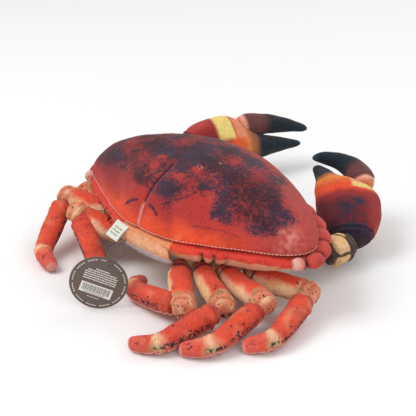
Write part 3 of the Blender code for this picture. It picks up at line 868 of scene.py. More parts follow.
def add_plate(shape, u, v, half_u, half_v, lift):
    """A thin printed plate. The print's own lines are level in the photograph, not on the tag."""
    turn = math.radians(-TAG_ROLL) + math.radians(PRINT_TURN)
    c, s = math.cos(turn), math.sin(turn)
    corners = []
    for x, y in ((-half_u, -half_v), (half_u, -half_v), (half_u, half_v), (-half_u, half_v)):
        corners.append(shape.verts.new((c * (u + x) - s * (v + y), s * (u + x) + c * (v + y), lift)))
    shape.faces.new(corners)


def add_dashes(shape, lift):
    """The dashed ring near the rim, with every fifth dash and those beside the hole left out."""
    inner, outer = TAG_RADIUS * 0.875, TAG_RADIUS * 0.905
    hole = Vector((0, TAG_RADIUS - TAG_HOLE_INSET))
    for k in range(DASHES):
        start = 2 * math.pi * k / DASHES
        end = start + 2 * math.pi / DASHES * 0.72
        corner = Vector((inner * math.cos(start), inner * math.sin(start)))
        if k % 5 == 4 or (corner - hole).length < 2.6 * TAG_HOLE_RADIUS:
            continue
        half = (start + end) / 2
        ring = ((inner, start), (outer, start), (outer, half), (outer, end), (inner, end), (inner, half))
        shape.faces.new([shape.verts.new((r * math.cos(a), r * math.sin(a), lift)) for r, a in ring])


def add_rows(shape, lift):
    """Rows of small bars of uneven length, in place of lines of text."""
    for row, reach in enumerate(ROW_REACHES):
        u = -reach
        k = row * 3
        while u < reach - 0.0008:
            length = min(0.0010 + 0.0014 * ((k * 7) % 5) / 4, reach - u)
            add_plate(shape, u + length / 2, ROW_TOP - row * ROW_PITCH, length / 2, 0.00046, lift)
            u += length + 0.00040
            k += 1


def build_tag_print(pale, dark):
    """Generic print: a dashed ring, rows of small bars and a pale panel with plain stripes."""
    lift = TAG_THICKNESS / 2 + PRINT_LIFT
    shape = bmesh.new()
    add_dashes(shape, lift)
    add_rows(shape, lift)
    add_plate(shape, 0.0002, -0.0071, 0.0132, 0.0046, lift)
    for k in range(5):
        add_plate(shape, -0.0040 + 0.0020 * k, -0.0142, 0.00065, 0.00035, lift)
    bmesh.ops.recalc_face_normals(shape, faces=shape.faces)
    bars = bmesh.new()
    top = lift + STRIPE_LIFT
    u = -0.0112
    k = 0
    while u < 0.0108:
        width = (0.00028, 0.00050, 0.00034, 0.00070)[k % 4]
        add_plate(bars, u + width / 2, -0.0066, width / 2, 0.0030, top)
        u += width + (0.00052, 0.00040, 0.00060)[k % 3]
        k += 1
    add_plate(bars, 0.0, -0.0107, 0.0088, 0.00022, top)
    return [tag_flat("tag_print", shape, pale), tag_flat("tag_stripes", bars, dark)]


def loop_route():
    place = tag_place()
    hole = place @ Vector((0, TAG_RADIUS - TAG_HOLE_INSET, 0))
    lead = place.to_3x3() @ Vector((0, 0, LOOP_LEAD))
    points = [Vector(p) for p in LOOP_FRONT] + [hole + lead, hole, hole - lead]
    points += [Vector(p) for p in LOOP_BACK]
    return evenly(spline(points, 8), 38)


def cord_mesh(name, route):
    """A tube along a route, with the twisted ridges of two strands."""
    shape = bmesh.new()
    rows = []
    last = len(route) - 1
    side = UP
    for i, middle in enumerate(route):
        along = (route[min(i + 1, last)] - route[max(i - 1, 0)]).normalized()
        side = (side - along * side.dot(along)).normalized()
        other = along.cross(side)
        row = []
        for k in range(CORD_SIDES):
            angle = 2 * math.pi * k / CORD_SIDES
            radius = LOOP_DIAMETER / 2 * (0.90 + 0.10 * math.cos(2 * (angle + CORD_TWIST * i)))
            spoke = side * radius * math.cos(angle) + other * radius * math.sin(angle)
            row.append(shape.verts.new(middle + spoke))
        rows.append(row)
    bridge(shape, rows, caps=True)
    return mesh_object(name, shape)


def build_loop(skin, others):
    """The twisted two-strand cord of the tag."""
    coarse = loop_route()
    route = evenly(spline(coarse, 8), 260)
    made = cord_mesh("tag_loop_cord", route)
    dress(made, "tag_loop", skin)


# Label
def label_frame():
    """The label's root in the seam, its way out, its way across and its upper side."""
    root = Vector((LABEL_BESIDE, SHELL_REAR - LABEL_SEWN_IN, SEAM_HEIGHT))
    out = Vector(LABEL_WAY).normalized()
    across = Vector(LABEL_ACROSS).normalized()
    lift = across.cross(out).normalized()
    return root, out, across, -lift if lift.z < 0 else lift


def label_line(share):
    """The middle between the plies at a share of the length, and how far a ply is from it."""
    root, out, _, _ = label_frame()
    point = root + out * LABEL_LENGTH * share - Vector((0, 0, LABEL_DROOP * share ** 2))
    done = min(1.0, (share - LABEL_BEGIN) / (1 - LABEL_BEGIN))
    return point, PLY_APART + PLY_OPENS * math.sin(math.pi * done)


def build_label(skin, motif):
    """A folded woven ribbon: two plies that stand out of the seam and meet in a fold."""
    _, _, across, lift = label_frame()
    shares = [LABEL_BEGIN + (1.0 - LABEL_BEGIN) * i / LABEL_STEPS for i in range(LABEL_STEPS + 1)]
    middle = []
    for ply, run in ((1, shares), (-1, shares[::-1])):
        for share in run:
            point, apart = label_line(share)
            middle.append(point + lift * ply * (FOLD_APART if share > 0.985 else apart))
    shape = bmesh.new()
    rows = []
    for i, point in enumerate(middle):
        row = []
        for k in range(LABEL_COLUMNS + 1):
            t = k / LABEL_COLUMNS - 0.5
            wave = LABEL_WAVE * math.sin(9.0 * t + 0.25 * min(i, len(middle) - i))
            row.append(shape.verts.new(point + across * LABEL_WIDTH * t + lift * wave))
        rows.append(row)
    bridge(shape, rows, closed=False)
    bmesh.ops.recalc_face_normals(shape, faces=shape.faces)
    made = mesh_object("seam_label_ribbon", shape)
    thick = made.modifiers.new("ply", "SOLIDIFY")
    thick.thickness = PLY_THICKNESS
    thick.offset = 0.0
    dress(made, "seam_label", skin)
    drawn = build_motif(motif)


def build_motif(skin):
    """A plain woven motif on the label's upper ply: three short waves."""
    _, out, across, lift = label_frame()
    shape = bmesh.new()
    for row in range(3):
        pairs = []
        for k in range(MOTIF_STEPS + 1):
            t = (k / MOTIF_STEPS - 0.5) * 0.62
            share = 0.50 + 0.15 * row + 0.030 * math.sin(k * 0.95 + row)
            point, apart = label_line(share)
            row_here = LABEL_STEPS * (share - LABEL_BEGIN) / (1 - LABEL_BEGIN)
            wave = LABEL_WAVE * math.sin(9.0 * t + 0.25 * row_here)
            point = point + across * LABEL_WIDTH * t + lift * (wave + apart + MOTIF_LIFT)
            half = out * MOTIF_HALF_WIDTH
            pairs.append((shape.verts.new(point - half), shape.verts.new(point + half)))
        for (a, b), (c, d) in zip(pairs, pairs[1:]):
            shape.faces.new((a, c, d, b))
    bmesh.ops.recalc_face_normals(shape, faces=shape.faces)
    drawn = mesh_object("label_motif", shape, smooth=False)
    dress(drawn, None, skin)
    return drawn


# Shell
def on_shell(tree, x, y):
    """The point of the shell at this place in the plan, given in millimetres."""
    return np.array(tree.ray_cast(Vector((x / 1000.0, y / 1000.0, 1.0)), Vector((0, 0, -1)))[0])


def blot(co, spot, wide, high, sway):
    """A soft blot that is as wide and high as it looks in the photograph."""
    off = (co - spot) * 1000.0
    u = off @ VIEW_RIGHT + sway[0]
    v = off @ VIEW_UP + sway[1]
    away = np.linalg.norm(off, axis=1) / (4.5 * max(wide, high))
    return np.exp(-(u / wide) ** 2 - (v / high) ** 2 - away ** 2)


def stroke(co, points):
    """Distance in the plan from a run of straight strokes, in millimetres."""
    p = co[:, :2] * 1000.0
    best = np.full(len(co), 1e3)
    for start, end in zip(points, points[1:]):
        a = np.array(start)
        way = np.array(end) - a
        t = np.clip(((p - a) @ way) / (way @ way), 0.0, 1.0)
        best = np.minimum(best, np.linalg.norm(p - (a + t[:, None] * way), axis=1))
    return best


def shell_ink(co, tree):
    """The charcoal print of the shell before it is weakened towards the rim."""
    x, y, z = co.T
    sway = (3.6 * lumps(co, 0.013, 11) + 2.2 * lumps(co, 0.005, 15),
            2.8 * lumps(co, 0.013, 12) + 1.8 * lumps(co, 0.005, 16))
    little = (0.4 * sway[0], 0.4 * sway[1])
    clear = np.ones(len(co))
    for bx, by, wide, high in CLEARINGS:
        clear = clear * (1.0 - blot(co, on_shell(tree, bx, by), wide, high, little))
    left = np.ones(len(co))
    for bx, by, wide, high, strength in BLOTCHES:
        spot = on_shell(tree, bx, by)
        left = left * (1.0 - 0.90 * min(strength, 1.0) * blot(co, spot, SPREAD * wide, SPREAD * high, sway))
        left = left * (1.0 - 0.42 * strength * blot(co, spot, HALO * wide, HALO * high, sway))
    for bx, by, far, strength in FAR_BLOTCHES:
        off = (co - on_shell(tree, bx, by)) * 1000.0
        d2 = (off[:, 0] + sway[0]) ** 2 + (off[:, 1] + sway[1]) ** 2 + off[:, 2] ** 2
        left = left * (1.0 - 0.94 * strength * np.exp(-d2 / far ** 2))
    share = np.clip((z - SEAM_HEIGHT) / (DOME_HEIGHT + EDGE_THICKNESS), 0.0, 1.0)
    haze = 0.20 * step(0.25, 0.62, share) + 0.22 * step(0.015, -0.03, y) * step(0.2, 0.5, share)
    ink = (1.0 - left) * 1.02 + haze * (0.6 + 0.7 * lumps(co, 0.014, 24))
    ink = ink * clear * step(0.12, 0.40, share)
    for points, width, strength in STROKES:
        ink = np.maximum(ink, 1.1 * strength * np.exp(-(stroke(co, points) / width) ** 2))
    return ink, share


def shell_print(piece, dart_x, dart, corner):
    """Paint the shell, given the dart's line, its mask and the mask of the crumpled corner."""
    co = get_points(piece)
    x, y, z = co.T
    ink, share = shell_ink(co, tree_of(piece))
    # Painted sheen: pale coral in mottled patches, stronger on the right side
    coral_sheen = step(0.0, 0.75, lumps(co, 0.022, 22) + 0.45 * step(-0.02, -0.09, x))
    rear = step(0.030, 0.060, y) * (1.0 - step(0.10, 0.44, share + 0.10 * lumps(co, 0.012, 25)))
    # Painted highlight: yellow-gold patches low on the rear rim
    glow = rear * step(0.25, 0.8, lumps(co, 0.010, 26)) * (1.0 - step(0.05, 0.30, share))
    # Painted shade: the left slope of the dome is made darker, in its colour and in its ink
    dusk = step(0.02, 0.09, x) * step(0.10, 0.35, share) * (1.0 - step(0.62, 0.85, share))
    fleck = np.zeros(len(co))
    for fx, fy in PALE_FLECKS:
        fleck += np.exp(-((x * 1000.0 - fx) ** 2 + (y * 1000.0 - fy) ** 2) / 9.0)
    fleck = np.minimum(fleck, 1.0) * marks(co, 0.0016, 27, 0.15, 0.45)
    ink = (ink + 0.22 * dusk) * (1.0 - 0.9 * fleck)
    ink = np.maximum(ink, 1.5 * bump_at(x, dart_x, 0.0009) * dart * step(0.34, 0.44, share))
    thread = bump_at(x, dart_x, 0.0008) * dart * (1.0 - step(0.34, 0.46, share))
    beside = bump_at(x, dart_x - 0.0016, 0.0006) * dart * step(0.35, 0.45, share)
    hem = bump_at(z, SEAM_HEIGHT + 0.0004, 0.0006) * step(0.03, 0.06, np.hypot(x, y))
    tint = layered(
        mix(SHELL_RED, DEEP_RED, 0.30 + 0.55 * lumps(co, 0.035, 21) + 0.30 * share),
        # painted sheen
        (SHEEN_CORAL, 0.42 * coral_sheen),
        (RIM_ORANGE, 0.95 * rear),
        # painted highlight on the rear rim
        (HIGHLIGHT_GOLD, 0.45 * glow),
        # painted shade on the left slope
        (DEEP_RED, 0.75 * dusk),
        (PALE_ROSE, 0.42 * corner * np.clip(0.40 + 0.8 * lumps(co, 0.0035, 23), 0.0, 1.0)),
        (PALE_ROSE, 0.8 * fleck),
        (PALE_ROSE, 0.95 * thread),
        (PALE_ROSE, 0.30 * beside * (0.5 + 0.5 * np.sin(y / 0.00045))),
        (PALE_ROSE, 0.35 * hem))
    paint(piece, tint, ink, 0.16 * step(0.1, 0.5, share) + 0.10 * (y > 0.0))


def build_shell(outline, skin):
    piece = soft_form("shell", shell_rings(outline))
    co = get_points(piece)
    x, y, z = co.T
    above = z - SEAM_HEIGHT
    rim = np.exp(-above / 0.0055) * step(0.02, 0.05, np.hypot(x, y))
    soft = 0.0010 * lumps(co, 0.045, 1) + 0.00050 * lumps(co, 0.016, 5) + 0.00022 * lumps(co, 0.006, 6)
    dart_x = DART_LOW_X + (DART_TOP_X - DART_LOW_X) * step(0.068, 0.036, y)
    dart = step(0.026, 0.036, y) * step(-0.002, 0.004, above)
    groove = DART_DEPTH * bump_at(x, dart_x, 0.0010) + 0.0006 * bump_at(x, dart_x, 0.006)
    corner = np.exp(-((x + 0.111) / 0.010) ** 2 - ((y - 0.022) / 0.012) ** 2)
    pinch = bump_at(x, -0.0268, 0.0012) * step(0.006, 0.0, above) * step(0.03, 0.05, y)
    raise_skin(piece, 0.00040 * rim * puckers(co, 2) + soft * step(0.000, 0.012, above) - groove * dart
               + 0.0010 * corner * lumps(co, 0.006, 9) - 0.0008 * pinch)
    shell_print(piece, dart_x, dart, corner)
    dress(piece, "carapace", skin, 0.75)


def belly_creases(co):
    """The radial creases under the rear edge, 0 to 1 at each point."""
    x, y, _ = co.T
    crease = np.zeros(len(co))
    for cx, cy, depth in BELLY_CREASES:
        away = np.hypot(cx, cy)
        aside = (x * cy - y * cx) / away
        crease += depth * bump_at(aside, 0.0, 0.0013) * ((x * cx + y * cy) / away > 0)
    return crease


def build_belly(outline, skin):
    piece = soft_form("underside", belly_rings(outline))
    co = get_points(piece)
    x, y, z = co.T
    outer = np.hypot(x, y) > 0.04
    side = step(0.012, 0.030, z) * (1.0 - step(0.0490, 0.0525, z))
    crease = belly_creases(co)
    rim = np.exp(-(SEAM_HEIGHT - z) / 0.006) * outer
    soft = (0.0010 * lumps(co, 0.035, 31) + 0.0004 * lumps(co, 0.010, 32)) * step(0.0015, 0.008, z) * side
    ends = bump_at(np.abs(x), 0.0275, 0.0011) * step(0.04, 0.06, y) * side
    clear = 1.0 - bump_at(x, LABEL_BESIDE, 0.014) * (y > 0)
    puff = BELLY_PUFF * bump_at(z, 0.0485, 0.0038) * outer * clear
    raise_skin(piece, 0.00035 * rim * puckers(co, 3) + puff - CREASE_DEPTH * crease * side + soft
               - 0.0009 * ends)
    co = get_points(piece)
    x, y, z = co.T
    edge = z + 0.0016 * lumps(co, 0.018, 33) + 0.0012 * lumps(co, 0.005, 34)
    brush = marks(co * np.array([1.0, 1.0, 0.35]), 0.0022, 36, 0.1, 0.6)
    tint = layered(
        mix(CREAM, WARM_CREAM, 0.35 + 0.5 * lumps(co, 0.03, 35)),
        (PEACH, 0.6 * step(0.0445, 0.0470, edge)),
        # the band under the rim, in a red brightened as painted light against the rim's shadow
        (LIT_BAND_RED, step(0.0462, 0.0490, edge)),
        (RIM_ORANGE, 0.7 * step(0.0465, 0.0490, edge) * step(-0.06, -0.03, -np.abs(x)) * (y > 0)),
        (DEEP_RED, 0.35 * brush * step(0.043, 0.046, edge)),
        # painted shade in the creases
        (BROWN_RED, 0.85 * np.minimum(crease, 1.0) * side))
    strip = step(0.0282, 0.0270, np.abs(x)) * step(0.03, 0.05, y)
    peach = mix(PEACH, CREAM, step(0.050, 0.040, z + 0.001 * lumps(co, 0.008, 37)))
    tint = layered(tint, (peach, strip), (BROWN_RED, 0.35 * ends))
    paint(piece, tint, 0.0, 0.20 * step(0.044, 0.048, edge) * (1 - strip))
    dress(piece, "belly", skin, 0.7)


def build_frills(outline, skin):
    for side, name in ((1, "frill_left"), (-1, "frill_right")):
        piece = soft_form(name + "_lobes", frill_rings(outline, side))
        tuck(piece, SHELL_SKINS)
        co = get_points(piece)
        share, _ = on_route(co, [p + FRILL_LIFT for p in frill_route(outline, side)])
        valley = 0.5 + 0.5 * np.cos(share ** (1.0 / LOBE_GROWTH) * LOBES * 2 * np.pi)
        raise_skin(piece, LOBE_PUFF * (1.0 - valley) - VALLEY_DEPTH * valley ** 10
                   + 0.0005 * lumps(co, 0.008, 41))
        tuck(piece, SHELL_SKINS)
        # Painted shade between the lobes: the valleys are darkened, with a thin dark line in the ink at their
        # bottom
        begun = step(0.02, 0.05, share)
        tint = layered(
            mix(SHELL_RED, ROSE, 0.35 + 0.5 * lumps(co, 0.010, 42)),
            (PALE_ROSE, 0.75 * (1.0 - step(0.02, 0.085, share))),
            (WARM_CREAM, 0.4 * step(0.046, 0.042, co[:, 2])),
            # painted shade in the valleys between lobes
            (DEEP_RED, 0.6 * valley ** 12 * begun))
        paint(piece, tint, 1.15 * valley ** 50 * begun, 0.16)
        dress(piece, name, skin, 0.7)


def build_flap(skin):
    piece = soft_form("tail_flap", flap_rings())
    tuck(piece, SHELL_SKINS)
    co = get_points(piece)
    x, y, z = co.T
    wrinkle = 0.00035 * np.sin(x / 0.0011 + 1.5 * lumps(co, 0.006, 53)) * step(0.056, 0.064, y)
    raise_skin(piece, wrinkle + 0.0004 * lumps(co, 0.012, 51))
    tuck(piece, SHELL_SKINS)
    low = 0.0415 + 0.0010 * lumps(co, 0.010, 52)
    tint = layered(
        mix(PEACH, CREAM, 0.5 + 0.4 * lumps(co, 0.008, 54)),
        (PEACH, 0.7 * step(low + 0.004, low + 0.009, z)),
        (BLUE_WHITE, 0.95 * step(0.0, -0.0012, z - low)))
    paint(piece, tint, 0.0, 0.0)
    dress(piece, "abdomen_flap", skin, 0.6)


def build_face(skin, bead):
    near = SHELL_SKINS + ("frill_left", "frill_right")
    piece = soft_form("mouth_piece", face_rings())
    tuck(piece, near)
    co = get_points(piece)
    x, y, z = co.T
    middle = bump_at(x, 0.0, 0.0010)
    halves = bump_at(np.abs(x), 0.0125, 0.0009) * step(FACE_HEIGHT + 0.001, FACE_HEIGHT - 0.004, z)
    raise_skin(piece, -0.0014 * middle - 0.0008 * halves + 0.0004 * lumps(co, 0.007, 61))
    tuck(piece, near)
    low = step(FACE_HEIGHT + 0.002, FACE_HEIGHT - 0.005, z + 0.002 * lumps(co, 0.006, 62))
    paint(piece, mix(ROSE, WARM_CREAM, low), 0.9 * middle + 0.55 * halves, 0.18)
    dress(piece, "face", skin, 0.6)
    for side, name in ((1, "eye_left"), (-1, "eye_right")):
        ball = bmesh.new()
        bmesh.ops.create_uvsphere(ball, u_segments=40, v_segments=28, radius=EYE_RADIUS)
        forward = FACE_BEHIND - SHELL_FRONT - FACE_HALF_THICK - EYE_OUT
        made = mesh_object(name + "_bead", ball)
        made.data.transform(Matrix.Translation((side * EYE_SPACING / 2, forward, FACE_HEIGHT + EYE_UP)))
        tuck(made, ("face",))
        dress(made, name, bead)


# Legs
def build_thigh(name, number, upper, near, skin):
    seed = 70 + 7 * number
    piece = soft_form(name + "_thigh", leg_upper_rings(upper))
    co = get_points(piece)
    share, angle = on_route(co, spline(upper, 6))
    knee_wave = np.sin(share * 58 + 2.4 * np.cos(angle - 1.0) + seed)
    knee_folds = 0.0011 * knee_wave * step(0.70, 0.80, share) * (1.0 - step(0.93, 1.0, share))
    hip_folds = 0.0008 * np.sin(share * 75 + np.cos(angle)) * (1.0 - step(0.20, 0.36, share))
    away = np.abs(np.abs(angle) - 2.25)
    raise_skin(piece, (knee_folds + hip_folds) * (0.7 + 0.6 * lumps(co, 0.007, seed))
               - LIMB_SEAM * bump_at(away, 0.0, 0.09)
               + LIMB_LUMPS * lumps(co, 0.013, seed + 1) + LIMB_PILE * lumps(co, 0.0045, seed + 2))
    tuck(piece, near)
    under = np.cos(angle - (2.2 if "right" in name else -2.2))
    pale = step(-0.10, 0.60, under + 0.35 * lumps(co, 0.012, seed + 3))
    knee = step(0.71, 0.79, share + 0.035 * lumps(co, 0.006, seed + 4))
    tint = layered(
        mix(CORAL, RIM_ORANGE, 0.5 + 0.6 * lumps(co, 0.014, seed + 2)),
        (CREAM, pale),
        (YELLOW, 0.5 * pale * marks(co, 0.008, seed + 16)),
        # painted shade in the seam's groove
        (DEEP_RED, 0.45 * bump_at(away, 0.0, 0.10)),
        (HIP_BROWN, 0.75 * (1.0 - step(0.12, 0.19, share))),
        (SALMON, 0.92 * knee),
        (CREAM, 0.70 * knee * marks(co, 0.007, seed + 6)),
        (OLIVE, 0.75 * bump_at(share, 0.77, 0.035) * marks(co, 0.008, seed + 5, 0.0, 0.4)),
        # painted shade in the troughs of the knee folds
        (DEEP_RED, 0.30 * knee * np.clip(-knee_wave, 0, 1)))
    rings = bump_at(share, 0.200, 0.014)
    rings = rings + 0.8 * bump_at(share, 0.242, 0.009) * marks(co, 0.010, seed + 17, -0.3, 0.5)
    end = step(0.86, 0.96, share + 0.02 * lumps(co, 0.005, seed + 7)) * step(0.5, -0.6, np.cos(angle))
    beside = bump_at(away, 0.16, 0.13) * step(0.3, 0.45, share)
    ink = (1.25 * np.minimum(rings, 1.0) * step(-0.9, 0.0, np.cos(angle))
           + 0.90 * end * marks(co, 0.0016, seed + 18, 0.00, 0.30)
           + 0.85 * beside * marks(co, 0.0024, seed + 19, 0.05, 0.35)
           + 0.8 * marks(co, 0.0034, seed + 20, 0.50, 0.62) * (share > 0.28) * (1 - pale))
    paint(piece, tint, ink, 0.12 + 0.25 * knee)
    dress(piece, name + "_upper", skin, 0.75)


def build_shank(name, number, lower, skin):
    seed = 370 + 7 * number
    turn = 1.0 if name in SEAM_TURNED else -1.0
    piece = soft_form(name + "_shank", leg_lower_rings(lower))
    co = get_points(piece)
    share, angle = on_route(co, spline(lower, 6))
    folds = 0.0011 * np.sin(share * 72 + 2.0 * np.cos(angle - 0.6)) * (1.0 - step(0.10, 0.24, share))
    bend = 0.0009 * np.sin(share * 85 + 1.5 * np.cos(angle)) * bump_at(share, 0.70, 0.060)
    away = (turn * angle - 2.30 + np.pi) % (2 * np.pi) - np.pi
    raise_skin(piece, (folds + bend) * (0.7 + 0.6 * lumps(co, 0.006, seed + 8))
               - LIMB_SEAM * bump_at(away, 0.0, 0.10) + 0.0006 * bump_at(away, 0.28, 0.16)
               + LIMB_LUMPS * lumps(co, 0.012, seed + 9) + LIMB_PILE * lumps(co, 0.0045, seed + 3))
    tuck(piece, [name + "_upper"])
    band = bump_at(share + 0.02 * lumps(co, 0.006, seed + 12), 0.705, 0.040)
    green = bump_at(share, 0.715, 0.045) * bump_at(away, -0.75, 0.55)
    foot = step(0.76, 0.86, share)
    tint = layered(
        mix(CORAL, RIM_ORANGE, 0.25 + 0.7 * lumps(co, 0.012, seed + 10)),
        (SALMON, 0.55 * marks(co, 0.010, seed + 11, 0.0, 0.6)),
        (SHELL_RED, 0.55 * marks(co, 0.007, seed + 4, 0.1, 0.6)),
        (DEEP_RED, 0.40 * (1.0 - step(0.03, 0.12, share))),
        (CREAM, 0.85 * band * step(-1.0, 0.2, np.cos(angle))),
        (OLIVE, 0.8 * green),
        (ROSE, 0.6 * foot),
        (PALE_ROSE, 0.5 * step(0.95, 0.99, share)),
        (PALE_ROSE, 0.75 * bump_at(away, 0.16, 0.07)),
        # painted shade in the seam's groove
        (DEEP_RED, 0.70 * bump_at(away, 0.0, 0.07)))
    shaft = step(0.10, 0.20, share) * (1.0 - step(0.66, 0.72, share))
    row = bump_at(away, -0.72, 0.36) * shaft
    ink = (1.25 * row * marks(co, 0.0017, seed + 15, -0.15, 0.12)
           # a dark line of painted shade in the seam's groove
           + 0.9 * bump_at(away, 0.0, 0.05) * (0.4 + 0.6 * shaft)
           + 1.0 * green * marks(co, 0.0028, seed + 13, -0.15, 0.25)
           + 0.75 * marks(co, 0.0036, seed + 14, 0.42, 0.60) * (1.0 - band)
           + 0.9 * foot * bump_at(away, -1.1, 0.5) * marks(co, 0.0028, seed + 5, 0.15, 0.4))
    paint(piece, tint, ink, 0.20 + 0.25 * row)
    dress(piece, name + "_lower", skin, 0.75)


def build_legs(skin):
    before = None
    for number, (name, *pose) in enumerate(LEG_POSES):
        upper, lower = leg_points(*pose)
        near = ["belly"]
        if name.endswith("4"):
            near.append("abdomen_flap")
        if before and before[:-2] == name[:-2]:
            near.append(before + "_upper")
        before = name
        build_thigh(name, number, upper, near, skin)
        build_shank(name, number, lower, skin)


# Claws
class Claw:
    """One claw's places and ways, and the first seed of its noise."""

    def __init__(self, number, pose):
        self.name, shoulder, elbow, wrist, palm_way, open_way, self.finger, self.fixed = pose
        self.shoulder, self.elbow, self.wrist = Vector(shoulder), Vector(elbow), Vector(wrist)
        self.along, self.wide = claw_frame(palm_way, open_way)
        self.thick = self.along.cross(self.wide)
        self.frill = self.name.replace("claw", "frill")
        self.right = self.name == "claw_right"
        self.seed = 160 + 20 * number

    def part(self, form, rings):
        """A fine mesh of one part of the claw, and its points."""
        piece = soft_form(f"{self.name}_{form}", rings)
        return piece, get_points(piece)

    def share_across(self, co, way, size):
        """How far points are from the wrist in one direction, as a share of a size."""
        return (co - np.array(self.wrist)) @ np.array(way) / size

    def bend(self, piece, co, height):
        """Bend a fingertip of the right claw, to lie as in the photograph."""
        if self.right:
            co = co + np.array(self.thick) * (FINGERTIP_LIFT * height)[:, None]
            set_points(piece, co)
        return co


def build_arm(claw, skin):
    rings, route = arm_rings(claw.shoulder, claw.elbow)
    piece, co = claw.part("upper_arm", rings)
    share, angle = on_route(co, route)
    fold = 0.0008 * np.sin(share * 26 + np.cos(angle)) * step(0.55, 0.75, share)
    raise_skin(piece, fold - LIMB_SEAM * bump_at(angle, 1.2, 0.10) + LIMB_LUMPS * lumps(co, 0.014, claw.seed))
    tuck(piece, ["belly", claw.frill])
    tint = layered(
        mix(DUSKY_PLUM, BROWN_RED, 0.30 + 0.5 * lumps(co, 0.012, claw.seed + 1)),
        (WARM_CREAM, 0.5 * step(0.2, -0.6, np.cos(angle))))
    paint(piece, tint, 0.75, 0.2)
    dress(piece, claw.name + "_arm", skin, 0.75)


def build_wrist(claw, skin):
    seed = claw.seed
    rings, route = wrist_rings(claw.elbow, claw.wrist)
    piece, co = claw.part("carpus", rings)
    share, angle = on_route(co, route)
    fold = 0.0010 * np.sin(share * 30 + 1.6 * np.cos(angle + 1.0)) * (1.0 - bump_at(share, 0.5, 0.2))
    raise_skin(piece, fold - 0.0013 * bump_at(share, 0.50, 0.035) + LIMB_LUMPS * lumps(co, 0.010, seed + 2))
    tuck(piece, [claw.name + "_arm", claw.frill])
    lines = np.clip(np.sin(angle * 7.0 + 1.5 * lumps(co, 0.008, seed + 3)), 0.0, 1.0) ** 3
    tint = layered(
        mix(YELLOW, CREAM, 0.5 + 0.6 * lumps(co, 0.008, seed + 4)),
        (BROWN_RED, 0.28 * lines * marks(co, 0.007, seed + 18)))
    crossing = bump_at(angle, 1.45, 0.16) + bump_at(share, 0.56 + 0.10 * np.sin(angle), 0.030)
    # Dark at both ends, by the arm and by the palm
    ragged_share = share + 0.04 * lumps(co, 0.006, seed + 19)
    ink = 1.1 * np.minimum(crossing, 1.0) + 1.05 * (1.0 - step(0.14, 0.26, ragged_share) + step(0.60, 0.68, ragged_share))
    paint(piece, tint, ink, 0.10)
    dress(piece, claw.name + "_wrist", skin, 0.75)


def palm_patches(claw, a, b, ragged):
    """The yellow patch of a palm and what lies beside it, as layers of colour."""
    if claw.right:
        patch = step(0.755, 0.785, a + 0.4 * ragged) * step(0.02, 0.16, b) * (1.0 - step(0.86, 0.98, b))
        return ((STRAW, 0.95 * patch),
                (SALMON, 0.85 * step(0.84, 0.90, a + 0.5 * ragged) * step(-0.02, 0.14, b)),
                (DEEP_RED, 0.55 * step(0.86, 0.97, b)))
    patch = step(0.50, 0.56, a + 0.4 * ragged) * (1.0 - step(0.77, 0.80, a)) * step(0.02, 0.22, b)
    glow = step(0.50, 0.64, a) * (1.0 - step(-0.1, 0.12, b)) * (1.0 - step(0.9, 1.0, a))
    return ((STRAW, 0.95 * patch),
            (SALMON, 0.90 * step(0.785, 0.815, a) * step(0.02, 0.16, b)),
            (ORANGE, 0.80 * glow),
            (BROWN_RED, 0.5 * bump_at(a, 0.795, 0.008) * step(0.1, 0.3, b)))


def palm_ink(claw, co, a, b, c):
    """The charcoal print of a palm: a dusky wrist end, a spot and a stitched corner."""
    seed = claw.seed
    dusk = 1.0 - step(0.10, 0.66, a + 0.10 * lumps(co, 0.016, seed + 14))
    dusk = dusk * (1.0 - 0.92 * step(0.30, 0.62, b))
    spot = np.exp(-((a - 0.50) / 0.050) ** 2 - ((b - 0.22) / 0.075) ** 2) * step(0.0, -0.5, c)
    ink = (1.1 * (1.0 - step(0.05, 0.22, a)) + 0.92 * dusk * (0.65 + 0.7 * lumps(co, 0.014, seed + 15))
           + 0.42 * bump_at(a, 0.48, 0.14) * (0.8 + lumps(co, 0.010, seed + 12)) + 0.95 * spot)
    if claw.right:
        stitch = bump_at(a, 0.80 + 0.10 * (b - 0.6), 0.006) * step(0.45, 0.6, b)
        stitch = stitch + bump_at(b, 0.68, 0.02) * bump_at(a, 0.80, 0.03)
        ink = ink + 0.9 * np.minimum(stitch, 1.0)
    return ink


